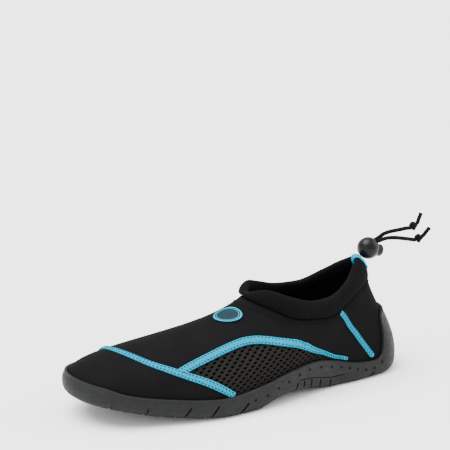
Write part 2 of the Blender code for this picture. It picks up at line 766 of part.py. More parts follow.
def build_panels(upper):
    """Cut both windows and fit a mesh sheet in each."""
    for name, rows, side in (("mesh_lateral", LATERAL_PANEL, 1), ("mesh_medial", MEDIAL_PANEL, -1)):
        phi, level = panel_grid(rows, side, 0.0)
        cutter = sheet("cutter", skin(phi, level, 0.003), skin(phi, level, -0.0055), False, None, None, True)
        subtract(upper, [cutter], 0.00006)
        phi, level = panel_grid(rows, side, 0.0010)
        outer = skin(phi, level, -MESH_SINK)
        inner = skin(phi, level, -MESH_SINK - MESH_WALL)
        sheet(name, outer, inner, False, (0.02, 0.018, 0.017), 0.85)


def smooth_path(rows, side, count):
    """Even steps along a tape's centre line."""
    knots = np.arange(len(rows))
    at = np.linspace(0, len(rows) - 1, 60)
    turn = np.interp(at, knots, [row.turn for row in rows]) * math.pi * side
    level = np.interp(at, knots, [row.level for row in rows])
    width = np.interp(at, knots, [row.width for row in rows])
    for _ in range(3):
        turn[1:-1] = (turn[:-2] + 2 * turn[1:-1] + turn[2:]) / 4
        level[1:-1] = (level[:-2] + 2 * level[1:-1] + level[2:]) / 4
    across = across_path(turn, level) * width[:, None] / 2
    clear = np.ones(len(turn), bool)
    for edge in (across, -across):
        edge_turn, edge_level = beside(turn, level, edge)
        clear = clear & (edge_level > lip_level(edge_turn) + LIP_CLEARANCE)
    turn = turn[clear]
    level = level[clear]
    width = width[clear]
    line = bare_skin(turn, level)
    length = np.concatenate([[0], np.cumsum(np.linalg.norm(np.diff(line, axis=0), axis=1))])
    even = np.linspace(0, length[-1], count)
    return np.interp(even, length, turn), np.interp(even, length, level), np.interp(even, length, width)


def across_path(phi, level):
    """Sideways direction along a line on the upper."""
    tangent = np.gradient(skin(phi, level), axis=0)
    tangent = tangent / np.linalg.norm(tangent, axis=1, keepdims=True)
    return np.cross(skin_normal(phi, level), tangent)


def build_tape(name, rows, side, count):
    """Woven tape lying on the upper."""
    phi, level, width = smooth_path(rows, side, count)
    across = across_path(phi, level)
    grid_phi = []
    grid_level = []
    for share in (-0.5, 0.0, 0.5):
        new_phi, new_level = beside(phi, level, across * (width * share)[:, None])
        grid_phi.append(new_phi)
        grid_level.append(np.minimum(new_level, 0.995))
    grid_phi = np.stack(grid_phi, 1)
    grid_level = np.stack(grid_level, 1)
    outer = skin(grid_phi, grid_level, TAPE_LIFT + TAPE_THICKNESS)
    inner = skin(grid_phi, grid_level, TAPE_LIFT)
    return sheet(name, outer, inner, False, (0.04, 0.52, 0.72), 0.6)


def cuff_point(phi, share, out):
    """Place on the collar's section at a turn."""
    phi = np.asarray(phi, float)
    low = seam(phi)
    high = rim(phi)
    step = 1e-3
    run = seam(phi + step) + rim(phi + step) - seam(phi - step) - rim(phi - step)
    climb = high - low
    outward = np.cross(run, climb)
    outward = outward / np.linalg.norm(outward, axis=-1, keepdims=True)
    lift = UP * GAP
    return low + lift + (climb - lift) * share + outward * out


def build_cuff():
    """Puffy bound collar."""
    phi = shoe_turns(STATIONS)
    grid = np.stack([cuff_point(phi, share, out) for share, out in CUFF_SECTION], 1)
    rows, columns = grid.shape[:2]
    faces = grid_faces(rows, columns, 0, True, True)
    return make("collar_cuff", list(grid.reshape(-1, 3)), faces, (0.014, 0.014, 0.015), 0.9)


def loop_point(phi, share, out, distance):
    """Place on the heel loop, a distance off the collar."""
    base = cuff_point(phi, share, out)
    away = base - cuff_point(phi, min(share, 0.86), -0.0012)
    return base + away / np.linalg.norm(away, axis=-1, keepdims=True) * distance


def lock_centre():
    """Middle of the cord lock's ball, resting on the back of the heel loop."""
    phi = np.array([math.pi])
    low = loop_point(phi, *LOOP_PATH[2], GAP + TAPE_THICKNESS)[0]
    high = loop_point(phi, *LOOP_PATH[3], GAP + TAPE_THICKNESS)[0]
    climb = (high - low) / np.linalg.norm(high - low)
    away = np.array([climb[2], 0.0, -climb[0]])
    return low + (high - low) * LOCK_REST + away * (BALL_RADIUS + GAP)


def from_lock(route):
    """A cord's route in the shoe's own place."""
    return [tuple(lock_centre() + np.array(point)) for point in route]


def build_heel_loop():
    """Webbing loop over the back of the collar."""
    phi = math.pi + np.linspace(-0.075, 0.075, 5) * math.pi
    rows = []
    for distance in (GAP + TAPE_THICKNESS, GAP):
        rows.append(np.stack([loop_point(phi, share, out, distance) for share, out in LOOP_PATH], 0))
    return sheet("heel_loop", rows[0], rows[1], False, (0.04, 0.52, 0.72), 0.6)


def build_badge():
    """Oval badge on the instep."""
    centre_phi = BADGE_CENTRE[0] * math.pi
    centre_level = BADGE_CENTRE[1]
    along = bare_skin(np.array(centre_phi), np.array(centre_level + 1e-3)) - bare_skin(
        np.array(centre_phi), np.array(centre_level - 1e-3))
    along = along / np.linalg.norm(along)
    normal = skin_normal(np.array(centre_phi), np.array(centre_level))
    across = np.cross(normal, along)
    along, across = (along * math.cos(BADGE_TURN) + across * math.sin(BADGE_TURN),
                     across * math.cos(BADGE_TURN) - along * math.sin(BADGE_TURN))
    turns = shoe_turns(24)
    rings = []
    for share in (1.0, 0.55):
        x = np.cos(turns) * BADGE_HALF[0] * share
        y = np.sin(turns) * BADGE_HALF[1] * share
        rings.append(along * x[:, None] + across * y[:, None])
    points = []
    for out in (GAP * 2.4 + BADGE_THICKNESS, GAP * 2.4):
        for ring in rings:
            phi, level = beside(np.full(24, centre_phi), np.full(24, centre_level), ring)
            points.extend(skin(phi, level, out))
        points.append(skin(np.array(centre_phi), np.array(centre_level), out))
    faces = []
    for i in range(24):
        k = (i + 1) % 24
        for start in (0, 49):
            faces.append([start + i, start + k, start + 24 + k, start + 24 + i])
            faces.append([start + 24 + i, start + 24 + k, start + 48])
        faces.append([i, k, k + 49, i + 49])
    return make("badge", points, faces, (0.10, 0.45, 0.55), 0.5)


def lathe(name, profile, axis, centre, sides, colour, roughness):
    """Turned solid about an axis, with its ends on the axis."""
    axis = Vector(axis).normalized()
    turn = axis.to_track_quat("Z", "Y").to_matrix()
    points = []
    for distance, radius in profile[1:-1]:
        for k in range(sides):
            angle = 2 * math.pi * k / sides
            points.append(turn @ Vector((radius * math.cos(angle), radius * math.sin(angle), distance)))
    points.append(turn @ Vector((0, 0, profile[0][0])))
    points.append(turn @ Vector((0, 0, profile[-1][0])))
    rings = len(profile) - 2
    faces = grid_faces(rings, sides, 0, False, True)
    for k in range(sides):
        m = (k + 1) % sides
        faces.append([k, m, len(points) - 2])
        last = (rings - 1) * sides
        faces.append([last + k, last + m, len(points) - 1])
    item = make(name, points, faces, colour, roughness)
    item.location = centre
    return item


def build_toggle():
    """Cord lock: drilled ball and its sprung push button."""
    bore = BUTTON_RADIUS + GAP
    face = math.sqrt(BALL_RADIUS**2 - (bore + 0.0004) ** 2)
    profile = [(-0.0042, 0.0), (-0.0042, bore), (face, bore)]
    start = math.atan2(bore + 0.0004, face)
    for k in range(9):
        angle = start + (math.pi - start) * k / 9
        profile.append((BALL_RADIUS * math.cos(angle), BALL_RADIUS * math.sin(angle)))
    profile.append((-BALL_RADIUS, 0.0))
    lathe("toggle_barrel", profile, TOGGLE_AXIS, lock_centre(), 24, (0.008, 0.008, 0.009), 0.3)
    tip = face + 0.0058
    button = [
        (-0.0008, 0.0),
        (-0.0008, BUTTON_RADIUS),
        (tip - 0.0012, BUTTON_RADIUS),
        (tip - 0.0003, BUTTON_RADIUS - 0.0007),
        (tip, BUTTON_RADIUS - 0.0020),
        (tip, 0.0),
    ]
    return lathe("toggle_button", button, TOGGLE_AXIS, lock_centre(), 24, (0.008, 0.008, 0.009), 0.35)


def smooth_route(points, step):
    """Even points on a smooth curve through a route's own points."""
    route = np.array(points)
    knots = np.arange(len(route), dtype=float)
    fine = np.linspace(0, len(route) - 1, 200)
    slopes = np.gradient(route, axis=0)
    cell = np.minimum(fine.astype(int), len(route) - 2)
    u = (fine - knots[cell])[:, None]
    line = (2 * u**3 - 3 * u**2 + 1) * route[cell] + (u**3 - 2 * u**2 + u) * slopes[cell]
    line = line + (3 * u**2 - 2 * u**3) * route[cell + 1] + (u**3 - u**2) * slopes[cell + 1]
    length = np.concatenate([[0], np.cumsum(np.linalg.norm(np.diff(line, axis=0), axis=1))])
    even = np.linspace(0, length[-1], max(3, int(length[-1] / step) + 1))
    return [[float(np.interp(at, length, line[:, axis])) for axis in range(3)] for at in even]


def build_cord(name, route):
    """Round cord tube."""
    points = smooth_route(route, CORD_RADIUS * 2.6)
    curve = bpy.data.curves.new(name, "CURVE")
    curve.dimensions = "3D"
    curve.bevel_depth = CORD_RADIUS
    curve.bevel_resolution = 2
    curve.use_fill_caps = True
    line = curve.splines.new("POLY")
    line.points.add(len(points) - 1)
    for point, place in zip(line.points, points):
        point.co = (*place, 1.0)
    curve.materials.append(material(name, (0.012, 0.012, 0.013), 0.7))
    item = bpy.data.objects.new(name, curve)
    bpy.context.scene.collection.objects.link(item)
    return item


def build_knot(name, before, after):
    """Knot lump between a strand and its tail."""
    before = Vector(before)
    after = Vector(after)
    half_length = (after - before).length / 2 - KNOT_GAP
    profile = [(-1.0, 0.0), (-0.98, 0.0008), (-0.72, 0.0025), (-0.30, 0.0032), (0.0, 0.0028), (0.30, 0.0032), (0.72, 0.0025),
               (0.98, 0.0008), (1.0, 0.0)]
    profile = [(share * half_length, radius) for share, radius in profile]
    return lathe(name, profile, after - before, (before + after) / 2, 14, (0.012, 0.012, 0.013), 0.7)


def shade(item):
    """Smooth shading with crisp folds."""
    mesh = item.data
    work = bmesh.new()
    work.from_mesh(mesh)
    for face in work.faces:
        face.smooth = True
    for edge in work.edges:
        edge.smooth = edge.calc_face_angle(0.0) < math.radians(38)
    work.to_mesh(mesh)
    work.free()


def centre_shoe():
    """Put the middle of the outline over the origin."""
    low = np.full(2, 1e9)
    high = np.full(2, -1e9)
    for item in bpy.data.objects:
        if item.type == "MESH" and not item.name.startswith("knot_"):
            for vertex in item.data.vertices:
                place = item.matrix_basis @ vertex.co
                low = np.minimum(low, place[:2])
                high = np.maximum(high, place[:2])
    move = Vector((-(low[0] + high[0]) / 2, -(low[1] + high[1]) / 2, 0.0))
    print("moved by", tuple(round(value, 6) for value in move))
    for item in bpy.data.objects:
        if item.type == "CURVE":
            for line in item.data.splines:
                for point in line.points:
                    point.co.xyz = point.co.xyz + move
        elif item.location.length > 1e-9:
            item.location = item.location + move
        else:
            item.data.transform(Matrix.Translation(move))


def main():
    """Build every piece of the shoe."""
    clear_scene()
    cut_tread(build_sole())
    build_insole()
    upper = build_upper()
    build_panels(upper)
    build_cuff()
    build_tape("tape_toe", TOE_TAPE, 1, 26)
    build_tape("tape_side_lateral", SIDE_TAPE, 1, 26)
    build_tape("tape_side_medial", INNER_SIDE_FRONT + SIDE_TAPE[4:], -1, 28)
    build_tape("tape_rear_lateral", REAR_TAPE, 1, 8)
    build_tape("tape_rear_medial", REAR_TAPE, -1, 8)
    build_badge()
    build_heel_loop()
    build_toggle()
    upper_strand, upper_tail = from_lock(UPPER_STRAND), from_lock(UPPER_TAIL)
    lower_strand, lower_tail = from_lock(LOWER_STRAND), from_lock(LOWER_TAIL)
    build_cord("cord_upper", upper_strand)
    build_cord("cord_lower", lower_strand)
    build_cord("tail_upper", upper_tail)
    build_cord("tail_lower", lower_tail)
    build_knot("knot_upper", upper_strand[-1], upper_tail[0])
    build_knot("knot_lower", lower_strand[-1], lower_tail[0])
    for item in bpy.data.objects:
        if item.type == "MESH":
            shade(item)
    centre_shoe()


main()
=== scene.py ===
"""Left water shoe: rubber cup sole, stretch upper, mesh windows, woven tapes, padded collar, cord lock."""

import math
from collections import namedtuple

import bmesh
import bpy
import numpy as np
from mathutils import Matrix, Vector


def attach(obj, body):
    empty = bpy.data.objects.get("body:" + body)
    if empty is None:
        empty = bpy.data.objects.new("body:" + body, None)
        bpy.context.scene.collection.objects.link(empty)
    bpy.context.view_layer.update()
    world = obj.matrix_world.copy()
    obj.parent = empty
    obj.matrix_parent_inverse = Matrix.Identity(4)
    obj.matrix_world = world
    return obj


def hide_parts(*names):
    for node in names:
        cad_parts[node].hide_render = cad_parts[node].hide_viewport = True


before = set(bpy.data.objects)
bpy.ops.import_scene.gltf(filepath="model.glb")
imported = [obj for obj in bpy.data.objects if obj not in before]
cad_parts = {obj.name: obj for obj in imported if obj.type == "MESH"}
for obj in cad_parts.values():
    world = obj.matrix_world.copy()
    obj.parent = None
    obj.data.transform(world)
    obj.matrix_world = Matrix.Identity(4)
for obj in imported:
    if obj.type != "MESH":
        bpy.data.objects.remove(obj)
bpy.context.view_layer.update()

bl_info = {
    "name": "Water Shoe Builder",
    "version": (1, 0, 0),
    "blender": (4, 5, 0),
    "location": "View3D > Sidebar > Water Shoe",
    "description": "Builds the visible pieces of a left water shoe over its solid frame",
    "category": "Object",
}

# Main sizes of the solid shoe, in metres
SOLE_LENGTH = 0.275
BALL_WIDTH = 0.098
SOLE_THICKNESS = 0.006
TOE_SPRING = 0.018
ARCH_LIFT = 0.008
CUP_HEIGHT = 0.048
RUBBER_WALL = 0.0032
LIP = 0.0018
GAP = 0.0003
UPPER_WALL = 0.0025
INSOLE_THICKNESS = 0.003
SEAM_FRONT = 0.0034
SEAM_BACK = 0.1138
SEAM_WIDTH = 0.062
SEAM_HEIGHT = 0.074
RIM_FRONT = 0.0045
RIM_BACK = 0.1046
RIM_WIDTH = 0.057
RIM_HEIGHT = 0.0905
MESH_SINK = 0.0004
TAPE_THICKNESS = 0.0009
TAPE_EASE = 110
LIP_TUCK = 0.030
LIP_CLEARANCE = 0.018
GROOVE_WIDTH = 0.0016
BALL_RADIUS = 0.0087
BUTTON_RADIUS = 0.0049
CORD_RADIUS = 0.0015
FLAT_TRIM = 0.0003

# Trim of the dressed shoe, in metres
LIP_BEAD = 0.0005
EDGE_ROUNDING = 0.005
CUTTER_REACH = 0.004
SLASH_WIDTH = 0.0017
SLASH_DEPTH = 0.0019
DIMPLE_RADIUS = 0.0012
RIB_LINE_WIDTH = 0.0009
RIB_LINE_DEPTH = 0.0008
TAPE_FOLD = 0.0042
STITCH_START = 0.0012
STITCH_INSET = 0.00115
STITCH_RADIUS = 0.0004
COLLAR_STITCH_PITCH = 0.0032
COLLAR_STITCH_LENGTH = 0.0019
COLLAR_STITCH_RADIUS = 0.00052
LINER_DEPTH = 0.0021
BUTTON_REACH = 0.0058
KNOT_SIZE = 0.00078
KNOT_RISE = 0.0011
KNOT_TUBE = 0.00145
# End of the push button: distance below its tip and in from its side
BUTTON_END = (
    (0.0013, 0.0), (0.0008, 0.0001), (0.0004, 0.0005), (0.0001, 0.0012), (0.0, 0.002), (0.0002, 0.003),
)

# Trim in turns, levels and shares
WINDOW_MARGIN = 0.012
TAPE_TOP = 0.995
COLLAR_STITCH_LEVEL = 0.955
LOOP_HALF_TURN = 0.075
STITCH_SHARE = 0.55
# Thin dark cords lose width against a pale ground, so they are drawn a little thicker
CORD_THICKENING = 1.08
# Step in radians and levels by which slopes are measured
SLOPE_STEP = 0.001

# Camera, lights and floor, from the shoe's own zero
CAMERA_PLACE = (-0.41161, -0.74256, 0.33730)
CAMERA_VIEW = (0.459746, 0.855013, -0.239971)
CAMERA_LENS = 95.0
FLOOR_REACH = 15.0
AIR_LIGHT = 1.5
LIGHT_SPREAD = 50
LIGHTS = (
    ("light_over", (-0.35, 0.12, 1.0), 7.6),
    ("light_toe", (-1.0, -0.35, 0.35), 0.8),
    ("light_heel", (1.0, -0.35, 0.6), 1.5),
)

# The solid shoe stands centred over the origin, this far from the tables' own zero
MOVE = np.array([0.00011, 0.001751, 0.0])

SoleRow = namedtuple("SoleRow", "along centre lateral medial toe_rise arch_lateral arch_medial")
SOLE_ROWS = [SoleRow(*row) for row in (
    (0.0, 0.06, 0.73, 0.73, 1.0, 0.0, 0.0), (0.05, 0.05, 0.69, 0.66, 0.86, 0.0, 0.0),
    (0.1, 0.04, 0.63, 0.61, 0.7, 0.0, 0.0), (0.2, 0.03, 0.57, 0.53, 0.36, 0.0, 0.0),
    (0.34, 0.0, 0.535, 0.5, 0.07, 0.0, 0.0), (0.46, -0.01, 0.49, 0.43, 0.0, 0.0, 0.05),
    (0.54, -0.01, 0.465, 0.4, 0.0, 0.75, 1.0), (0.63, -0.01, 0.425, 0.385, 0.0, 0.75, 1.1),
    (0.73, 0.0, 0.405, 0.4, 0.0, 0.0, 0.35), (0.79, 0.0, 0.434, 0.43, 0.0, 0.0, 0.0),
    (0.87, 0.0, 0.494, 0.49, 0.0, 0.0, 0.0), (0.95, 0.0, 0.6, 0.6, 0.04, 0.0, 0.0),
    (1.0, 0.0, 0.66, 0.66, 0.27, 0.0, 0.0),
)]
WallRow = namedtuple("WallRow", "along lateral medial")
WALL_ROWS = [WallRow(*row) for row in (
    (0.0, 0.674, 0.674), (0.05, 0.602, 0.613), (0.1, 0.513, 0.53), (0.2, 0.398, 0.409), (0.31, 0.32, 0.331),
    (0.38, 0.315, 0.331), (0.46, 0.386, 0.42), (0.56, 0.502, 0.552), (0.64, 0.536, 0.596),
    (0.73, 0.431, 0.486), (0.8, 0.326, 0.353), (0.865, 0.282, 0.293), (0.89, 0.287, 0.287),
    (0.905, 0.342, 0.342), (0.92, 0.552, 0.552), (0.94, 0.872, 0.872), (0.97, 0.966, 0.966),
    (1.0, 0.999, 0.999),
)]
LoopRow = namedtuple("LoopRow", "along width height")
SEAM_ROWS = [LoopRow(*row) for row in (
    (0.0, 0.44, 0.972), (0.1, 0.47, 0.893), (0.25, 0.51, 0.784), (0.4, 0.51, 0.756), (0.55, 0.49, 0.752),
    (0.7, 0.44, 0.835), (0.82, 0.41, 0.911), (0.92, 0.38, 0.948), (1.0, 0.36, 1.001),
)]
# The collar's front roll sags about a millimetre more here than the stiff CAD solid does
RIM_ROWS = [LoopRow(*row) for row in (
    (0.0, 0.44, 0.836), (0.1, 0.47, 0.874), (0.25, 0.51, 0.821), (0.4, 0.5, 0.774), (0.52, 0.47, 0.767),
    (0.65, 0.44, 0.782), (0.8, 0.41, 0.86), (0.92, 0.33, 0.951), (1.0, 0.28, 1.01),
)]
SkinRow = namedtuple("SkinRow", "turn rise bulge spread flank drop")
SKIN_ROWS = [SkinRow(*row) for row in (
    (0.0, 0.64, 0.11, 0.32, 0.0, 0.64), (0.15, 0.51, 0.08, 0.27, 0.022, 0.58),
    (0.3, 0.47, 0.04, 0.26, 0.048, 0.45), (0.45, 0.45, 0.022, 0.24, 0.063, 0.37),
    (0.6, 0.43, 0.017, 0.19, 0.061, 0.35), (0.75, 0.4, 0.02, 0.12, 0.045, 0.33),
    (0.9, 0.36, 0.03, 0.05, 0.02, 0.25), (1.0, 0.34, 0.03, 0.03, 0.0, 0.22),
)]
TapeRow = namedtuple("TapeRow", "turn level width")
TOE_TAPE = [TapeRow(*row) for row in (
    (-0.205, 0.235, 0.004), (-0.165, 0.3, 0.0042), (-0.11, 0.362, 0.0042), (-0.055, 0.399, 0.004),
    (0.0, 0.421, 0.004), (0.052, 0.435, 0.0042), (0.101, 0.435, 0.0044), (0.15, 0.423, 0.0046),
    (0.194, 0.41, 0.0048), (0.236, 0.392, 0.005), (0.272, 0.374, 0.0052), (0.308, 0.35, 0.0054),
    (0.341, 0.318, 0.0055), (0.374, 0.266, 0.0055), (0.402, 0.205, 0.0052), (0.415, 0.17, 0.0048),
)]
SIDE_TAPE = [TapeRow(*row) for row in (
    (0.2455, 0.44, 0.0058), (0.245, 0.514, 0.006), (0.246, 0.592, 0.0062), (0.249, 0.665, 0.0063),
    (0.259, 0.73, 0.0064), (0.284, 0.768, 0.0064), (0.33, 0.784, 0.0064), (0.386, 0.766, 0.0064),
    (0.452, 0.723, 0.006), (0.5, 0.655, 0.0054), (0.547, 0.502, 0.0046), (0.585, 0.406, 0.0038),
    (0.622, 0.33, 0.0032), (0.654, 0.265, 0.0028), (0.679, 0.218, 0.0026), (0.686, 0.204, 0.0026),
)]
INNER_SIDE_FRONT = [TapeRow(*row) for row in (
    (0.29, 0.19, 0.005), (0.275, 0.3, 0.0054), (0.262, 0.43, 0.0058), (0.254, 0.55, 0.0062),
    (0.253, 0.65, 0.0063),
)]
REAR_TAPE = [TapeRow(*row) for row in (
    (0.581, 0.97, 0.0042), (0.62, 0.84, 0.0042), (0.6575, 0.7, 0.0042), (0.7, 0.515, 0.0042),
    (0.7315, 0.345, 0.0042), (0.758, 0.2, 0.0042), (0.768, 0.15, 0.0042),
)]
# Sewn ends that the solid tapes leave out: under the lip, and up to the toe tape
TOE_TAPE_END = [TapeRow(0.427, 0.132, 0.0047), TapeRow(0.436, 0.1, 0.0046)]
TOE_TAPE_INNER_END = [TapeRow(-0.262, 0.085, 0.004), TapeRow(-0.238, 0.16, 0.004)]
SIDE_TAPE_FRONT = [TapeRow(0.2466, 0.396, 0.0056)]
PanelRow = namedtuple("PanelRow", "turn low high")
LATERAL_PANEL = [PanelRow(*row) for row in (
    (0.248, 0.392, 0.66), (0.26, 0.383, 0.73), (0.284, 0.37, 0.768), (0.308, 0.352, 0.778),
    (0.341, 0.32, 0.784), (0.374, 0.268, 0.773), (0.405, 0.19, 0.752), (0.43, 0.12, 0.741),
    (0.47, 0.13, 0.699), (0.51, 0.18, 0.624), (0.547, 0.215, 0.502), (0.585, 0.225, 0.406),
    (0.622, 0.215, 0.33), (0.648, 0.2, 0.279),
)]
# The inner window shares the outer one's upper edge from the instep back
MEDIAL_LOWS = (0.11, 0.11, 0.115, 0.125, 0.15, 0.2, 0.235, 0.245, 0.235, 0.215)
MEDIAL_PANEL = [PanelRow(0.29, 0.12, 0.768), PanelRow(0.308, 0.11, 0.776)]
MEDIAL_PANEL += [PanelRow(row.turn, low, row.high) for row, low in zip(LATERAL_PANEL[4:], MEDIAL_LOWS)]
CUFF_SECTION = [
    (0.02, 0.0), (0.14, 0.0016), (0.42, 0.0025), (0.72, 0.0021), (0.93, 0.0006), (1.0, -0.0018),
    (0.9, -0.004), (0.5, -0.0048), (0.02, -0.0026),
]
TREAD_GROOVES = [
    [(0.128, -0.47), (0.174, -0.242)],
    [(0.212, -0.54), (0.254, -0.271)],
    [(0.291, -0.575), (0.337, -0.285)],
    [(0.372, -0.58), (0.413, -0.309)],
    [(0.48, -0.56), (0.493, -0.318)],
    [(0.06, -0.33), (0.086, -0.177), (0.176, -0.234), (0.255, -0.263), (0.337, -0.285), (0.413, -0.309),
     (0.493, -0.318)],
    [(0.093, 0.46), (0.09, 0.32), (0.182, 0.312), (0.279, 0.315), (0.365, 0.276), (0.433, 0.266),
     (0.505, 0.198)],
    [(0.198, 0.52), (0.182, 0.312)],
    [(0.292, 0.54), (0.279, 0.315)],
    [(0.38, 0.52), (0.365, 0.276)],
    [(0.45, 0.48), (0.433, 0.266)],
    [(0.086, -0.177), (0.058, -0.02), (0.09, 0.15), (0.09, 0.32)],
    [(0.176, -0.234), (0.131, -0.012), (0.178, 0.181), (0.14, 0.316)],
    [(0.255, -0.263), (0.215, -0.059), (0.264, 0.163), (0.217, 0.314)],
    [(0.337, -0.285), (0.301, -0.098), (0.348, 0.136), (0.312, 0.298)],
    [(0.413, -0.309), (0.389, -0.101), (0.44, 0.149), (0.415, 0.267)],
    [(0.493, -0.318), (0.504, -0.053), (0.528, 0.105), (0.505, 0.198)],
    [(0.739, -0.45), (0.734, -0.242), (0.77, -0.198), (0.888, -0.061), (0.943, 0.057), (0.92, 0.31)],
    [(0.734, -0.242), (0.735, 0.07), (0.76, 0.42)],
    [(0.8, -0.44), (0.815, -0.15)],
    [(0.865, -0.43), (0.87, -0.08)],
    [(0.826, 0.42), (0.826, 0.2), (0.9, 0.19), (0.943, 0.057)],
    [(0.78, -0.17), (0.775, 0.03), (0.826, 0.2)],
    [(0.95, -0.33), (0.925, -0.06), (0.943, 0.057)],
]
ARCH_RIBS = [[(along, -0.56), (along, -0.3)] for along in (0.545, 0.58, 0.615, 0.65, 0.685)]
ARCH_RIBS += [[(0.56, 0.11), (0.59, 0.56)], [(0.6, 0.06), (0.635, 0.56)], [(0.64, 0.01), (0.68, 0.56)]]
WallCut = namedtuple("WallCut", "turn_a height_a turn_b height_b")
WALL_CUTS = [WallCut(*row) for row in (
    (0.3469, 0.0092, 0.332, 0.001), (0.3978, 0.01, 0.3817, 0.001), (0.456, 0.0088, 0.4372, 0.001),
    (0.2614, 0.0062, 0.256, 0.0008), (0.176, 0.0045, 0.17, 0.0008), (0.7673, 0.005, 0.7462, 0.0008),
    (0.5593, 0.0072, 0.557, 0.0012), (0.576, 0.0076, 0.5755, 0.001), (0.5931, 0.008, 0.5936, 0.001),
    (0.6157, 0.0077, 0.6162, 0.001), (0.6417, 0.0075, 0.6421, 0.001),
)]
# Mesh holes: slant in radians, rising towards the heel, and half sizes
HOLE_SLANT = 0.26
HOLE_HALF = (0.00155, 0.00072)
# Moulded dimples in the wall's outer side: turn and height above the tread
WALL_DIMPLES = [
    (0.468, 0.01), (0.492, 0.0099), (0.515, 0.0098), (0.537, 0.0111), (0.559, 0.0136), (0.582, 0.0157),
    (0.611, 0.0169), (0.64, 0.0172), (0.668, 0.0153), (0.691, 0.0131), (0.713, 0.0107), (0.739, 0.0087),
    (0.768, 0.0083), (0.798, 0.0113),
]
RIB_LINE_TURNS = (0.564, 0.678)
RIB_LINE_HEIGHT = 0.0093
BADGE_CENTRE = (0.068, 0.874)
BADGE_HALF = (0.0108, 0.0073)
BADGE_TURN = -0.62
BADGE_THICKNESS = 0.0007
LOCK_REST = 0.120
LOOP_PATH = [
    (0.36, 0.0025), (0.55, 0.0025), (0.72, 0.0021), (0.93, 0.0006), (1.0, -0.0018), (0.9, -0.004),
    (0.7, -0.0045), (0.5, -0.0048),
]
TOGGLE_AXIS = (0.96, 0.0, -0.28)
UPPER_STRAND = [
    (0.00722, 0.00178, 0.00514), (0.01124, 0.0022, 0.00646), (0.01604, 0.0024, 0.00881),
    (0.02198, 0.0022, 0.0101), (0.02845, 0.0017, 0.01065), (0.03465, 0.0008, 0.01132),
    (0.03807, 0.0003, 0.01161), (0.04042, 0.0, 0.01157),
]
UPPER_TAIL = [
    (0.04649, 0.0, 0.01422), (0.04749, 0.0, 0.01507), (0.04868, 0.0, 0.01815), (0.05083, 0.0, 0.02276),
]
LOWER_STRAND = [
    (0.00731, -0.0018, 0.00501), (0.01023, -0.0023, 0.00572), (0.01532, -0.0025, 0.00662),
    (0.02229, -0.0023, 0.00618), (0.02957, -0.0018, 0.00483), (0.03714, -0.001, 0.00308),
    (0.04217, -0.0004, 0.00186), (0.04565, 0.0, 0.00111),
]
LOWER_TAIL = [
    (0.05272, 0.0, 0.00299), (0.05372, 0.0, 0.00362), (0.0561, 0.0, 0.0059), (0.05975, 0.0, 0.00934),
]
UP = np.array([0.0, 0.0, 1.0])


def hex_colour(text):
    """Linear colour with full opacity from an sRGB hex value."""
    shares = [int(text[i:i + 2], 16) / 255 for i in (1, 3, 5)]
    linear = [share / 12.92 if share <= 0.04045 else ((share + 0.055) / 1.055) ** 2.4 for share in shares]
    return (*linear, 1.0)


def colour_property(name, description, text):
    """A colour that can be changed in the sidebar."""
    return bpy.props.FloatVectorProperty(name=name, description=description, subtype="COLOR", size=4,
                                         min=0.0, max=1.0, default=hex_colour(text))


def length_property(name, description, default, low, high):
    """A length that can be changed in the sidebar."""
    return bpy.props.FloatProperty(name=name, description=description, default=default, min=low, max=high,
                                   unit="LENGTH", precision=5)


class ShoeSizes(bpy.types.PropertyGroup):
    """Sizes of the trim that can be changed without changing the shoe's form."""
    cord_diameter: length_property(
        "Cord diameter", "Thickness of the round elastic cord", 2 * CORD_RADIUS, 0.001, 0.004)
    mesh_pitch: length_property(
        "Mesh pitch", "Distance between mesh holes along the foot", 0.0059, 0.002, 0.008)
    mesh_row: length_property("Mesh row", "Distance between rows of mesh holes", 0.00228, 0.0015, 0.006)
    stitch_pitch: length_property(
        "Stitch pitch", "Distance from one tape stitch to the next", 0.0026, 0.0015, 0.006)
    tread_depth: length_property(
        "Tread depth", "Depth of the grooves between the lugs", 0.0018, 0.0005, 0.003)


class ShoeColours(bpy.types.PropertyGroup):
    """Colours of the shoe's materials."""
    rubber: colour_property("Rubber", "Moulded rubber of the cup sole", "#101111")
    upper: colour_property("Upper fabric", "Stretch fabric of the upper", "#0f0f10")
    collar: colour_property("Collar fabric", "Soft knit over the collar foam", "#0c0c0d")
    mesh: colour_property("Mesh", "Knitted drainage mesh", "#191817")
    # Painted shade: the liner's near-black colour, darker than any fabric of the shoe, stands for the shade
    # inside the mesh holes
    painted_shade_liner: colour_property("Mesh liner", "Thin dark layer behind the mesh", "#020202")
    tape: colour_property("Tape", "Woven polyester tape", "#006e88")
    tape_light: colour_property("Tape weave", "Lighter yarns of the tape", "#0086a4")
    thread: colour_property("Thread", "Sewing thread on the tapes", "#04242e")
    insole: colour_property("Insole", "Fabric top of the foam insole", "#1f2021")
    lock: colour_property("Cord lock", "Moulded plastic of the cord lock", "#050506")
    cord: colour_property("Cord", "Braided cover of the elastic cord", "#0b0b0c")
    badge_field: colour_property("Badge field", "Matt field of the moulded badge", "#05222b")
    badge_ring: colour_property("Badge ring", "Raised ring of the moulded badge", "#0088a0")
    floor: colour_property("Floor", "Plain studio floor", "#f6f6f6")


def between(u, start, leaving, end, arriving):
    """Smooth value at a share of the way between two values with their slopes."""
    first = (2 * u**3 - 3 * u**2 + 1) * start + (u**3 - 2 * u**2 + u) * leaving
    return first + (3 * u**2 - 2 * u**3) * end + (u**3 - u**2) * arriving


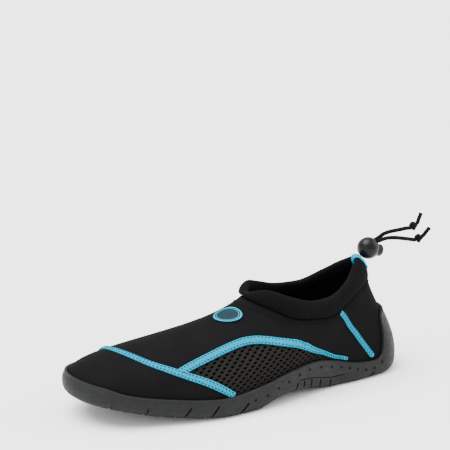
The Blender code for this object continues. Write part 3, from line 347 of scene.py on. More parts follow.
def spline(knots, values, at):
    """Smooth curve through table values, flat at both ends."""
    knots = np.asarray(knots, float)
    values = np.asarray(values, float)
    at = np.asarray(at, float)
    slopes = np.zeros(len(knots))
    slopes[1:-1] = (values[2:] - values[:-2]) / (knots[2:] - knots[:-2])
    cell = np.clip(np.searchsorted(knots, at) - 1, 0, len(knots) - 2)
    span = knots[cell + 1] - knots[cell]
    return between((at - knots[cell]) / span, values[cell], span * slopes[cell],
                   values[cell + 1], span * slopes[cell + 1])


def unit(vectors):
    """Vectors made one long."""
    return vectors / np.linalg.norm(vectors, axis=-1, keepdims=True)


def half(phi):
    """Turn measured from the toe on either side, and the side sign (minus is the outer side)."""
    phi = np.mod(np.asarray(phi, float), 2 * math.pi)
    outer = phi <= math.pi
    return np.where(outer, phi, 2 * math.pi - phi), np.where(outer, -1.0, 1.0)


def column(rows, name, near):
    """One named column of a table by share along the foot, smoothed."""
    knots = [math.acos(1 - 2 * row.along) for row in rows]
    return spline(knots, [getattr(row, name) for row in rows], near)


def by_side(rows, outer_name, inner_name, phi):
    """Table value for the outer or the inner side."""
    near, side = half(phi)
    return np.where(side < 0, column(rows, outer_name, near), column(rows, inner_name, near))


def plan(phi):
    """Sole outline seen from above."""
    near, side = half(phi)
    width = by_side(SOLE_ROWS, "lateral", "medial", phi) * BALL_WIDTH
    centre = by_side(SOLE_ROWS, "centre", "centre", phi) * BALL_WIDTH
    return np.stack([-np.cos(near) * SOLE_LENGTH / 2, centre + side * np.sin(near) * width], -1)


def plan_normal(phi):
    """Outward direction of the outline, level."""
    run = plan(phi + SLOPE_STEP) - plan(phi - SLOPE_STEP)
    out = unit(np.stack([run[..., 1], -run[..., 0]], -1))
    return out * np.sign((out * plan(phi)).sum(-1, keepdims=True))


def tread_height(phi):
    """Height of the underside at the outline, pressed flat where it stands."""
    toe = by_side(SOLE_ROWS, "toe_rise", "toe_rise", phi) * TOE_SPRING
    arch = by_side(SOLE_ROWS, "arch_lateral", "arch_medial", phi) * ARCH_LIFT
    return np.maximum(toe + arch - FLAT_TRIM, 0.0)


def wall_top(phi):
    """Height of the rubber cup's lip."""
    return by_side(WALL_ROWS, "lateral", "medial", phi) * CUP_HEIGHT


def loop(rows, front, back, width, height, phi):
    """A closed collar line."""
    near, side = half(phi)
    wide = column(rows, "width", near) * width
    tall = column(rows, "height", near) * height
    x = front + (back - front) * (1 - np.cos(near)) / 2
    return np.stack([x, side * np.sin(near) * wide, tall], -1)


def seam(phi):
    """Line where the collar is sewn to the upper."""
    return loop(SEAM_ROWS, SEAM_FRONT, SEAM_BACK, SEAM_WIDTH, SEAM_HEIGHT, phi)


def rim(phi):
    """Crest of the collar."""
    return loop(RIM_ROWS, RIM_FRONT, RIM_BACK, RIM_WIDTH, RIM_HEIGHT, phi)


def foot(phi):
    """Foot of the upper, inside the rubber cup."""
    inset = plan(phi) - plan_normal(phi) * (RUBBER_WALL + GAP)
    height = tread_height(phi) + SOLE_THICKNESS + GAP
    return np.concatenate([inset, height[..., None]], -1)


def skin_column(name, phi):
    """One column of the skin table."""
    near, _ = half(phi)
    knots = [row.turn * math.pi for row in SKIN_ROWS]
    return spline(knots, [getattr(row, name) for row in SKIN_ROWS], near)[..., None]


def bare_skin(phi, level):
    """Outside of the upper."""
    low_end = foot(phi)
    top_end = seam(phi)
    level = np.asarray(level, float)[..., None]
    outward = np.concatenate([plan_normal(phi), np.zeros(np.shape(phi) + (1,))], -1)
    reach = low_end - top_end
    across = reach * np.array([1.0, 1.0, 0.0])
    height = -reach[..., 2:3]
    low = low_end + UP * height * skin_column("rise", phi)
    low = low + outward * skin_column("bulge", phi) * BALL_WIDTH
    high = top_end + across * skin_column("spread", phi) - UP * height * skin_column("drop", phi)
    high = high + outward * skin_column("flank", phi) * BALL_WIDTH
    first = low_end * (1 - level) ** 3 + 3 * low * level * (1 - level) ** 2
    return first + 3 * high * level**2 * (1 - level) + top_end * level**3


def skin_normal(phi, level):
    """Outward direction of the upper."""
    round_run = bare_skin(phi + SLOPE_STEP, level) - bare_skin(phi - SLOPE_STEP, level)
    above = np.minimum(level + SLOPE_STEP, 1)
    below = np.maximum(level - SLOPE_STEP, 0)
    return unit(np.cross(round_run, bare_skin(phi, above) - bare_skin(phi, below)))


def skin(phi, level, out=0.0):
    """Point of the upper, moved outward by a distance."""
    phi, level = np.broadcast_arrays(np.asarray(phi, float), np.asarray(level, float))
    return bare_skin(phi, level) + skin_normal(phi, level) * np.broadcast_to(out, phi.shape)[..., None]


def level_at(phi, height):
    """Level on the upper at a height above the floor."""
    phi = np.asarray(phi, float)
    low = np.zeros(phi.shape)
    high = np.ones(phi.shape)
    for _ in range(26):
        middle = (low + high) / 2
        under = bare_skin(phi, middle)[..., 2] < height
        low = np.where(under, middle, low)
        high = np.where(under, high, middle)
    return low


def beside(phi, level, sideways):
    """Skin place a given vector away from another, to first order."""
    step = SLOPE_STEP
    round_run = (bare_skin(phi + step, level) - bare_skin(phi - step, level)) / (2 * step)
    up_run = (bare_skin(phi, level + step) - bare_skin(phi, level - step)) / (2 * step)
    a = (round_run * round_run).sum(-1)
    b = (round_run * up_run).sum(-1)
    c = (up_run * up_run).sum(-1)
    e = (round_run * sideways).sum(-1)
    f = (up_run * sideways).sum(-1)
    fall = a * c - b * b
    return phi + (e * c - f * b) / fall, level + (f * a - e * b) / fall


def cuff_point(phi, share, out):
    """Place on the collar's section at a turn."""
    phi = np.asarray(phi, float)
    low = seam(phi)
    high = rim(phi)
    step = SLOPE_STEP
    run = seam(phi + step) + rim(phi + step) - seam(phi - step) - rim(phi - step)
    climb = high - low
    outward = unit(np.cross(run, climb))
    lift = UP * GAP
    return low + lift + (climb - lift) * np.asarray(share)[..., None] + outward * np.asarray(out)[..., None]


def shoe_turns(count):
    """Even turns round the shoe."""
    return np.arange(count) * 2 * math.pi / count


def length_along(line):
    """Distance along a line at each of its points."""
    return np.concatenate([[0], np.cumsum(np.linalg.norm(np.diff(line, axis=0), axis=1))])


class Shape:
    """Points, faces and flat cloth coordinates in metres of one piece in the making."""

    def __init__(self):
        self.points = []
        self.faces = []
        self.cloth = []
        self.layers = []

    def grid(self, grid, cloth=None, wrap_rows=False, wrap_columns=False, keep=None, layer=0):
        """Add a grid of points; cloth is its flat coordinates, with one more row or column where it wraps."""
        rows, columns = grid.shape[:2]
        start = len(self.points)
        self.points.extend(grid.reshape(-1, 3))
        if cloth is None:
            cloth = np.zeros((rows + 1, columns + 1, 2))
        for i in range(rows if wrap_rows else rows - 1):
            for j in range(columns if wrap_columns else columns - 1):
                if keep is not None and not keep[i, j]:
                    continue
                k = (i + 1) % rows
                m = (j + 1) % columns
                self.faces.append([start + i * columns + j, start + k * columns + j, start + k * columns + m,
                                   start + i * columns + m])
                self.cloth.append([cloth[i, j], cloth[i + 1, j], cloth[i + 1, j + 1], cloth[i, j + 1]])
                self.layers.append(layer)

    def face(self, corners, layer=0):
        """Add one face."""
        self.faces.append(list(corners))
        self.cloth.append([(0.0, 0.0)] * len(corners))
        self.layers.append(layer)

    def item(self, name, finishes, merge=0.000001, sharp=40):
        """Finished object, standing where the solid shoe stands."""
        mesh = bpy.data.meshes.new(name)
        places = [tuple(map(float, np.asarray(point) + MOVE)) for point in self.points]
        mesh.from_pydata(places, [], self.faces)
        layer = mesh.uv_layers.new(name="cloth")
        flat = [value for face in self.cloth for corner in face for value in corner]
        layer.data.foreach_set("uv", np.array(flat))
        mesh.polygons.foreach_set("material_index", self.layers)
        made = bpy.data.objects.new(name, mesh)
        bpy.context.scene.collection.objects.link(made)
        for finish in finishes:
            mesh.materials.append(finish)
        if merge:
            tidy(mesh, merge)
        shade(mesh, sharp)
        return made


def tidy(mesh, merge):
    """Merge doubled points and turn every face outward."""
    work = bmesh.new()
    work.from_mesh(mesh)
    bmesh.ops.remove_doubles(work, verts=work.verts, dist=merge)
    bmesh.ops.dissolve_degenerate(work, edges=work.edges, dist=merge)
    bmesh.ops.recalc_face_normals(work, faces=work.faces)
    work.to_mesh(mesh)
    work.free()


def shade(mesh, sharp):
    """Smooth shading with crisp folds above an angle in degrees."""
    work = bmesh.new()
    work.from_mesh(mesh)
    for face in work.faces:
        face.smooth = True
    for edge in work.edges:
        edge.smooth = edge.calc_face_angle(0.0) < math.radians(sharp)
    work.to_mesh(mesh)
    work.free()


def add_node(tree, kind, settings=None, inputs=None):
    """Add a node with its settings; each input gets a value or a link."""
    node = tree.nodes.new(kind)
    for name, value in (settings or {}).items():
        setattr(node, name, value)
    for name, value in (inputs or {}).items():
        if isinstance(value, bpy.types.NodeSocket):
            tree.links.new(value, node.inputs[name])
        else:
            node.inputs[name].default_value = value
    return node


def new_finish(name):
    """Empty material with its node tree and shader."""
    finish = bpy.data.materials.new(name)
    finish.use_nodes = True
    tree = finish.node_tree
    return finish, tree, tree.nodes["Principled BSDF"]


def set_shader(shader, **values):
    """Give the shader's own sockets their values."""
    for name, value in values.items():
        shader.inputs[name.replace("_", " ")].default_value = value


def millimetres(tree, source="Object"):
    """Coordinates of the piece in millimetres."""
    place = add_node(tree, "ShaderNodeTexCoord")
    return add_node(tree, "ShaderNodeVectorMath", {"operation": "SCALE"},
                    {0: place.outputs[source], "Scale": 1000.0})


def blotches(tree, vector, scale, detail, low, high):
    """Soft noise between two values; scale is in turns per millimetre."""
    noise = add_node(tree, "ShaderNodeTexNoise", None, {"Vector": vector, "Scale": scale, "Detail": detail})
    return add_node(tree, "ShaderNodeMapRange", None, {
        "Value": noise.outputs["Fac"], "From Min": 0.3, "From Max": 0.7, "To Min": low, "To Max": high})


def mix_colour(tree, factor, first, second, kind="MIX"):
    """Colour between two colours."""
    return add_node(tree, "ShaderNodeMix", {"data_type": "RGBA", "blend_type": kind},
                    {0: factor, 6: first, 7: second}).outputs[2]


def shaded(colour, share):
    """A colour made lighter or darker."""
    return (colour[0] * share, colour[1] * share, colour[2] * share, 1.0)


def join_bumps(tree, shader, *layers):
    """Stack height layers, each a height socket and a depth in metres, on the shader's normal."""
    normal = None
    for height, depth in layers:
        inputs = {"Height": height, "Distance": depth, "Strength": 1.0}
        if normal is not None:
            inputs["Normal"] = normal
        normal = add_node(tree, "ShaderNodeBump", None, inputs).outputs["Normal"]
    tree.links.new(normal, shader.inputs["Normal"])


def moulded_rubber(colour):
    """Moulded carbon-filled rubber: an even matt grey with faint bloom and the grain of the mould."""
    finish, tree, shader = new_finish("moulded_rubber")
    set_shader(shader, Roughness=0.62, IOR=1.5, Specular_IOR_Level=0.20)
    place = millimetres(tree).outputs[0]
    bloom = blotches(tree, place, 0.06, 3.0, 0.0, 1.0)
    base = mix_colour(tree, bloom.outputs[0], shaded(colour, 0.92), shaded(colour, 1.12))
    tree.links.new(base, shader.inputs["Base Color"])
    grain = add_node(tree, "ShaderNodeTexNoise", None, {"Vector": place, "Scale": 1.6, "Detail": 3.0})
    join_bumps(tree, shader, (grain.outputs["Fac"], 0.00012))
    rough = blotches(tree, place, 0.3, 2.0, 0.55, 0.7)
    tree.links.new(rough.outputs[0], shader.inputs["Roughness"])
    return finish


def stretch_fabric(name, colour, yarn, sheen):
    """Knitted stretch fabric: matt, with fine yarn rows and a soft light edge from its fibres."""
    finish, tree, shader = new_finish(name)
    set_shader(shader, Roughness=0.9, IOR=1.45, Specular_IOR_Level=0.03, Sheen_Weight=sheen,
               Sheen_Roughness=0.5)
    cloth = millimetres(tree, "UV").outputs[0]
    place = millimetres(tree).outputs[0]
    # Real yarn rows are about 0.4 mm apart; they are drawn at the yarn size given so that they show
    rows = add_node(tree, "ShaderNodeTexWave", {"wave_type": "BANDS", "bands_direction": "DIAGONAL"}, {
        "Vector": cloth, "Scale": 0.31 / yarn, "Distortion": 0.6, "Detail": 1.0, "Detail Scale": 1.5})
    fibres = add_node(tree, "ShaderNodeTexNoise", None, {"Vector": place, "Scale": 1.4 / yarn, "Detail": 4.0})
    tone = mix_colour(tree, rows.outputs["Fac"], shaded(colour, 0.86), shaded(colour, 1.14))
    wear = blotches(tree, place, 0.05, 3.0, 0.9, 1.1)
    tone = mix_colour(tree, 1.0, tone, wear.outputs[0], "MULTIPLY")
    tree.links.new(tone, shader.inputs["Base Color"])
    join_bumps(tree, shader, (rows.outputs["Fac"], 0.00010 * yarn), (fibres.outputs["Fac"], 0.00012 * yarn))
    return finish


def woven_tape(colours):
    """Woven polyester tape: bright, nearly matt yarns in a diagonal weave."""
    finish, tree, shader = new_finish("woven_polyester_tape")
    set_shader(shader, Roughness=0.6, IOR=1.5, Specular_IOR_Level=0.01)
    cloth = millimetres(tree, "UV").outputs[0]
    # Twill lines 1.6 mm apart, drawn coarser than the real 0.6 mm so that they show, broken up by loose yarns
    twill = add_node(tree, "ShaderNodeTexWave", {"wave_type": "BANDS", "bands_direction": "DIAGONAL"}, {
        "Vector": cloth, "Scale": 0.20, "Distortion": 2.5, "Detail": 2.0, "Detail Scale": 2.0})
    yarns = add_node(tree, "ShaderNodeTexNoise", None, {"Vector": cloth, "Scale": 0.9, "Detail": 2.0})
    mottle = add_node(tree, "ShaderNodeMath", {"operation": "MULTIPLY_ADD"}, {
        0: twill.outputs["Fac"], 1: 0.45, 2: yarns.outputs["Fac"]})
    light = add_node(tree, "ShaderNodeMapRange", None, {
        "Value": mottle.outputs[0], "From Min": 0.48, "From Max": 0.95, "To Min": 0.0, "To Max": 1.0})
    tone = mix_colour(tree, light.outputs[0], tuple(colours.tape), tuple(colours.tape_light))
    uneven = blotches(tree, cloth, 0.5, 3.0, 0.88, 1.1)
    tone = mix_colour(tree, 1.0, tone, uneven.outputs[0], "MULTIPLY")
    tree.links.new(tone, shader.inputs["Base Color"])
    join_bumps(tree, shader, (twill.outputs["Fac"], 0.00012), (yarns.outputs["Fac"], 0.00008))
    return finish


def plain_fibre(name, colour, roughness, grain_mm):
    """Spun thread or braid: matt and dark in its folds, with a fine grain."""
    finish, tree, shader = new_finish(name)
    set_shader(shader, Roughness=roughness, IOR=1.5, Specular_IOR_Level=0.05)
    place = millimetres(tree).outputs[0]
    grain = blotches(tree, place, 0.5 / grain_mm, 2.0, 0.0, 1.0)
    tone = mix_colour(tree, grain.outputs[0], shaded(colour, 0.8), shaded(colour, 1.2))
    tree.links.new(tone, shader.inputs["Base Color"])
    join_bumps(tree, shader, (grain.outputs[0], 0.0001))
    return finish


def moulded_plastic(name, colour, roughness, gloss):
    """Injection-moulded plastic: smooth, nearly matt to slightly glossy, with faint flow marks."""
    finish, tree, shader = new_finish(name)
    set_shader(shader, Roughness=roughness, IOR=1.48, Specular_IOR_Level=gloss, Base_Color=tuple(colour))
    place = millimetres(tree).outputs[0]
    rough = blotches(tree, place, 0.4, 2.0, roughness * 0.85, roughness * 1.2)
    tree.links.new(rough.outputs[0], shader.inputs["Roughness"])
    flow = add_node(tree, "ShaderNodeTexNoise", None, {"Vector": place, "Scale": 0.7, "Detail": 2.0})
    join_bumps(tree, shader, (flow.outputs["Fac"], 0.00003))
    return finish


def path_smooth(rows, side, count, clearance):
    """Turn, level and width at even steps along a tape, kept a clearance in levels above the lip."""
    knots = np.arange(len(rows))
    at = np.linspace(0, len(rows) - 1, 120)
    turn = np.interp(at, knots, [row.turn for row in rows]) * math.pi * side
    level = np.interp(at, knots, [row.level for row in rows])
    width = np.interp(at, knots, [row.width for row in rows])
    across = across_path(turn, level) * width[:, None] / 2
    clear = np.ones(len(turn), bool)
    for edge in (across, -across):
        edge_turn, edge_level = beside(turn, level, edge)
        clear = clear & (edge_level > level_at(edge_turn, wall_top(edge_turn)) + clearance)
    line = bare_skin(turn[clear], level[clear])
    length = length_along(line)
    even = np.linspace(0, length[-1], count)
    turn, level, width = (np.interp(even, length, value[clear]) for value in (turn, level, width))
    for _ in range(TAPE_EASE):
        for value in (turn, level, width):
            value[1:-1] = (value[:-2] + 2 * value[1:-1] + value[2:]) / 4
    return turn, level, width


def across_path(phi, level):
    """Sideways direction along a line on the upper."""
    return np.cross(skin_normal(phi, level), unit(np.gradient(skin(phi, level), axis=0)))


def tread_at(x, y):
    """Height of the underside at a place."""
    near = math.acos(max(-1.0, min(1.0, -2 * x / SOLE_LENGTH)))
    outer = plan(np.array(near))
    inner = plan(np.array(2 * math.pi - near))
    share = max(0.0, min(1.0, (y - outer[1]) / max(inner[1] - outer[1], 1e-6)))
    low = tread_height(np.array(near))
    high = tread_height(np.array(2 * math.pi - near))
    return float(low + (high - low) * share)


def groove_places(path, step):
    """Places along a tread groove on the underside."""
    places = []
    for (along_a, across_a), (along_b, across_b) in zip(path[:-1], path[1:]):
        a = np.array([(along_a - 0.5) * SOLE_LENGTH, across_a * BALL_WIDTH])
        b = np.array([(along_b - 0.5) * SOLE_LENGTH, across_b * BALL_WIDTH])
        pieces = max(1, int(np.linalg.norm(b - a) / step))
        places.extend(a + (b - a) * k / pieces for k in range(pieces))
    places.append(b)
    return [(x, y, tread_at(x, y)) for x, y in places]


def swept_cutter(shape, places, inward, width, inside, outside):
    """Add a box swept along places, from a depth inside the surface to a distance outside it."""
    places = np.asarray(places, float)
    inward = np.asarray(inward, float)
    sides = unit(np.cross(inward, unit(np.gradient(places, axis=0)))) * width
    deep = places + inward * inside
    clear = places - inward * outside
    corners = [deep + sides * 0.38, deep - sides * 0.38, clear - sides / 2, clear + sides / 2]
    start = len(shape.points)
    shape.grid(np.stack(corners, 1), None, False, True)
    last = start + 4 * (len(places) - 1)
    shape.face([start + 3, start + 2, start + 1, start])
    shape.face([last, last + 1, last + 2, last + 3])


def ball_points(centre, radius, rows=8, sides=14):
    """Rings of a small ball."""
    tilt = np.linspace(0, math.pi, rows + 1)
    spin = shoe_turns(sides)
    rings = np.stack([np.sin(tilt)[:, None] * np.cos(spin), np.sin(tilt)[:, None] * np.sin(spin),
                      np.cos(tilt)[:, None] + 0 * spin], -1)
    return np.asarray(centre) + rings * radius


def wall_place(turn, height):
    """Place on the outer face of the rubber wall at a height above the tread."""
    phi = np.asarray(turn, float) * math.pi
    top = level_at(phi, wall_top(phi))
    level = level_at(phi, height + tread_height(phi))
    share = np.clip(level / top, 0, 1)
    out = GAP + LIP + (RUBBER_WALL - LIP) * (1 - share)
    return skin(phi, level, out), skin_normal(phi, level)


def build_sole(sizes, colours):
    """Rubber cup sole: footbed, wall with a lip bead, rounded lower edge, lugs, slashes and dimples."""
    phi = shoe_turns(240)
    top = level_at(phi, wall_top(phi))
    out2 = plan_normal(phi)
    edge = plan(phi)
    tread = tread_height(phi)
    walls = [np.concatenate([edge - out2 * RUBBER_WALL, (tread + SOLE_THICKNESS)[:, None]], -1)]
    for share in (0.1, 0.3, 0.5, 0.7, 0.85, 1.0):
        walls.append(skin(phi, top * share, GAP))
    for angle in np.linspace(0.25, 0.75, 3) * math.pi:
        walls.append(skin(phi, top + 0.010 * math.sin(angle), GAP + LIP * (0.5 - 0.5 * math.cos(angle))))
    for share in np.linspace(1, 0, 22)[:-1]:
        bead = LIP_BEAD * math.exp(-((1 - share) / 0.045) ** 2)
        walls.append(skin(phi, top * share, GAP + LIP + (RUBBER_WALL - LIP) * (1 - share) + bead))
    for angle in np.linspace(0, 0.5, 8) * math.pi:
        inset = EDGE_ROUNDING * (1 - math.cos(angle))
        lift = (SOLE_THICKNESS + GAP) * (1 - math.sin(angle))
        walls.append(np.concatenate([edge - out2 * inset, (tread + lift)[:, None]], -1))
    profile = np.stack(walls, 1)
    rows, columns = profile.shape[:2]
    shape = Shape()
    shape.grid(profile, None, True)
    for side_column, cells in ((0, 6), (columns - 1, 16)):
        fill_ring(shape, [i * columns + side_column for i in range(rows)], cells)
    sole = shape.item("rubber_sole", [moulded_rubber(tuple(colours.rubber))], sharp=32)

    cutter_shape = Shape()
    # Depths differ a little, so that no two groove floors share a plane where they meet
    for number, path in enumerate(TREAD_GROOVES):
        depth = sizes.tread_depth * (1 + 0.017 * (number % 9))
        reach = CUTTER_REACH + 0.1 * depth
        swept_cutter(cutter_shape, groove_places(path, 0.012), UP, GROOVE_WIDTH * 1.15, depth, reach)
    depth = sizes.tread_depth * 0.7
    for path in ARCH_RIBS:
        swept_cutter(cutter_shape, groove_places(path, 0.020), UP, GROOVE_WIDTH * 0.8, depth, 0.0035)
    for cut in WALL_CUTS:
        turns = np.linspace(cut.turn_a, cut.turn_b, 2) * math.pi
        heights = np.array([cut.height_a, cut.height_b]) + tread_height(turns)
        places = np.concatenate([plan(turns), heights[:, None]], -1)
        inward = np.concatenate([-plan_normal(turns), np.zeros((2, 1))], -1)
        swept_cutter(cutter_shape, places, inward, SLASH_WIDTH, SLASH_DEPTH, CUTTER_REACH)
    for turn, height in WALL_DIMPLES:
        place, outward = wall_place(turn, height)
        cutter_shape.grid(ball_points(place + outward * 0.00005, DIMPLE_RADIUS), None, False, True)
    line, outward = wall_place(np.linspace(*RIB_LINE_TURNS, 9), RIB_LINE_HEIGHT)
    swept_cutter(cutter_shape, line, -outward, RIB_LINE_WIDTH, RIB_LINE_DEPTH, CUTTER_REACH / 2)
    cutter = cutter_shape.item("sole_cutter", [], merge=0.0000001)
    cut = sole.modifiers.new("cut", "BOOLEAN")
    cut.operation = "DIFFERENCE"
    cut.solver = "EXACT"
    cut.use_self = True
    cut.object = cutter
    apply_modifiers(sole)
    bpy.data.objects.remove(cutter, do_unlink=True)
    tidy(sole.data, 0.000001)
    shade(sole.data, 32)
    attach(sole, "shoe")
    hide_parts("outsole")


def apply_modifiers(item):
    """Make the modifiers' result the piece's own mesh."""
    shown = item.evaluated_get(bpy.context.evaluated_depsgraph_get())
    mesh = bpy.data.meshes.new_from_object(shown)
    item.modifiers.clear()
    item.data = mesh


def fill_ring(shape, edge, cells):
    """Fill a ring of edge points with rungs from side to side."""
    middle = len(edge) // 2
    rungs = []
    for i in range(1, middle):
        a = np.asarray(shape.points[edge[i]])
        b = np.asarray(shape.points[edge[len(edge) - i]])
        start = len(shape.points)
        shape.points.extend(a + (b - a) * k / cells for k in range(1, cells))
        rungs.append([edge[i]] + list(range(start, start + cells - 1)) + [edge[len(edge) - i]])
    for rung, following in zip(rungs[:-1], rungs[1:]):
        for j in range(cells):
            shape.face([rung[j], following[j], following[j + 1], rung[j + 1]])
    for rung, tip in ((rungs[0], edge[0]), (rungs[-1], edge[middle])):
        for j in range(cells):
            shape.face([tip, rung[j], rung[j + 1]])


def window_edges(rows, turn):
    """Lower and upper edge of a mesh window, in levels."""
    knots = [row.turn for row in rows]
    return [np.interp(turn, knots, [getattr(row, edge) for row in rows]) for edge in ("low", "high")]


def inside_panel(rows, turn, level, ends, below, above):
    """Whether a place lies in a mesh window, grown at its ends, below and above."""
    low, high = window_edges(rows, turn)
    between = (turn > rows[0].turn - ends) & (turn < rows[-1].turn + ends)
    return between & (level > low - below) & (level < high + above)


def build_upper(colours):
    """Stretch upper with both windows left open."""
    count = 300
    levels = 76
    phi = shoe_turns(count)[:, None]
    level = np.linspace(0, 1, levels)[None, :]
    outer = skin(phi, level)
    middle_phi = phi + math.pi / count
    middle_level = (level[:, :-1] + level[:, 1:]) / 2
    middle_phi, middle_level = np.broadcast_arrays(middle_phi, middle_level)
    keep = np.ones(middle_phi.shape, bool)
    for rows, side in ((LATERAL_PANEL, 1), (MEDIAL_PANEL, -1)):
        turn = np.mod(side * middle_phi / math.pi, 2.0)
        keep &= ~inside_panel(rows, turn, middle_level, -WINDOW_MARGIN * 0.35, -WINDOW_MARGIN, -WINDOW_MARGIN)
    cloth = np.zeros((count + 1, levels, 2))
    round_length = length_along(np.concatenate([outer[:, 40], outer[:1, 40]]))
    cloth[:, :, 0] = round_length[:, None]
    climb = np.stack([length_along(row) for row in outer])
    cloth[:-1, :, 1] = climb
    cloth[-1, :, 1] = climb[0]
    shape = Shape()
    shape.grid(outer, cloth, True, False, keep)
    fabric = stretch_fabric("stretch_knit_upper", tuple(colours.upper), 0.9, 0.004)
    upper = shape.item("upper_shell", [fabric], sharp=60)
    wall = upper.modifiers.new("wall", "SOLIDIFY")
    wall.thickness = UPPER_WALL
    wall.offset = -1.0
    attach(upper, "shoe")
    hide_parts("upper")


def net_frame(rows, side):
    """Middle of a mesh window and its level and upright directions."""
    phi = np.array(side * (rows[0].turn + rows[-1].turn) / 2 * math.pi)
    level = np.array(0.42)
    normal = skin_normal(phi, level)
    rearward = unit(np.cross(UP, normal))
    rearward = rearward * np.sign(rearward[0])
    upright = np.cross(normal, rearward)
    return phi, level, rearward, upright * np.sign(upright[2])


def net_places(window, flat, phi, level, rounds):
    """Turns and levels of flat places in a window, worked out in rounds from a first guess."""
    middle_phi, middle_level, rearward, upright = window
    origin = bare_skin(middle_phi, middle_level)
    for _ in range(rounds):
        here = bare_skin(phi, level) - origin
        step = (flat[:, :1] - (here @ rearward)[:, None]) * rearward
        step = step + (flat[:, 1:] - (here @ upright)[:, None]) * upright
        size = np.linalg.norm(step, axis=1, keepdims=True)
        phi, level = beside(phi, level, step * np.minimum(1, 0.012 / np.maximum(size, 1e-9)))
        level = np.clip(level, 0.02, 0.97)
    return phi, level


def build_net(name, node, rows, side, sizes, finishes):
    """Knitted mesh with slanted oval holes in level rows over a thin near-black liner, which is painted shade
    for the dark inside seen through the holes.
    """
    pitch = sizes.mesh_pitch
    step = sizes.mesh_row
    window = net_frame(rows, side)
    across = np.arange(-int(0.085 / pitch), int(0.085 / pitch) + 1)
    centres = np.array([((i + 0.5 * (j % 2)) * pitch, j * step) for j in range(-12, 15) for i in across])
    phi, level = net_places(window, centres, np.full(len(centres), float(window[0])),
                            np.full(len(centres), float(window[1])), 16)
    kept = inside_panel(rows, side * phi / math.pi, level, 0.006, 0.020, 0.010)
    centres, phi, level = centres[kept], phi[kept], level[kept]

    outline = np.array([(-0.5, -0.5), (-0.25, -0.5), (0, -0.5), (0.25, -0.5), (0.5, -0.5), (0.5, 0),
                        (0.5, 0.5), (0.25, 0.5), (0, 0.5), (-0.25, 0.5), (-0.5, 0.5), (-0.5, 0)])
    cell = outline * np.array([pitch, step])
    spin = np.arctan2(outline[:, 1], outline[:, 0]) - HOLE_SLANT
    long, short = np.cos(spin) * HOLE_HALF[0], np.sin(spin) * HOLE_HALF[1]
    hole = np.stack([long * math.cos(HOLE_SLANT) - short * math.sin(HOLE_SLANT),
                     long * math.sin(HOLE_SLANT) + short * math.cos(HOLE_SLANT)], -1)
    brow = cell * 0.30 + hole * 0.70
    shape = Shape()
    rings = []
    for ring, height in ((cell, 0.00005), (brow, -0.0001), (hole, -0.0005), (hole * 0.94, -0.0013)):
        flat = (centres[:, None, :] + ring[None, :, :]).reshape(-1, 2)
        places = net_places(window, flat, np.repeat(phi, len(cell)), np.repeat(level, len(cell)), 4)
        rings.append(skin(*places, height - MESH_SINK).reshape(len(centres), len(cell), 3))
    for number in range(len(centres)):
        shape.grid(np.stack([ring[number] for ring in rings], 0), None, False, True)

    turns = np.linspace(rows[0].turn - 0.001, rows[-1].turn + 0.001, 60)[:, None]
    low, high = window_edges(rows, turns)
    liner_level = low - 0.006 + (high - low + 0.012) * np.linspace(0, 1, 14)
    # Sheet behind the holes, coloured near-black as painted shade where the holes show only the shaded inside
    shape.grid(skin(side * turns * math.pi, liner_level, -MESH_SINK - LINER_DEPTH), None, layer=1)
    net = shape.item(name, finishes, merge=0.00002, sharp=80)
    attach(net, "shoe")
    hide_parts(node)


def capsule(shape, centre, direction, normal, length, radius):
    """One short rounded stitch."""
    side = np.cross(normal, direction)
    spokes = [side * math.cos(turn) + normal * math.sin(turn) for turn in shoe_turns(6)]
    rings = []
    for share, size in ((-1.0, 0.15), (-0.8, 0.75), (-0.35, 1.0), (0.35, 1.0), (0.8, 0.75), (1.0, 0.15)):
        ring = centre + direction * length / 2 * share
        sink = normal * (-0.25 * radius if abs(share) > 0.7 else 0.0)
        rings.append([ring + sink + spoke * radius * size for spoke in spokes])
    shape.grid(np.array(rings), None, False, True)


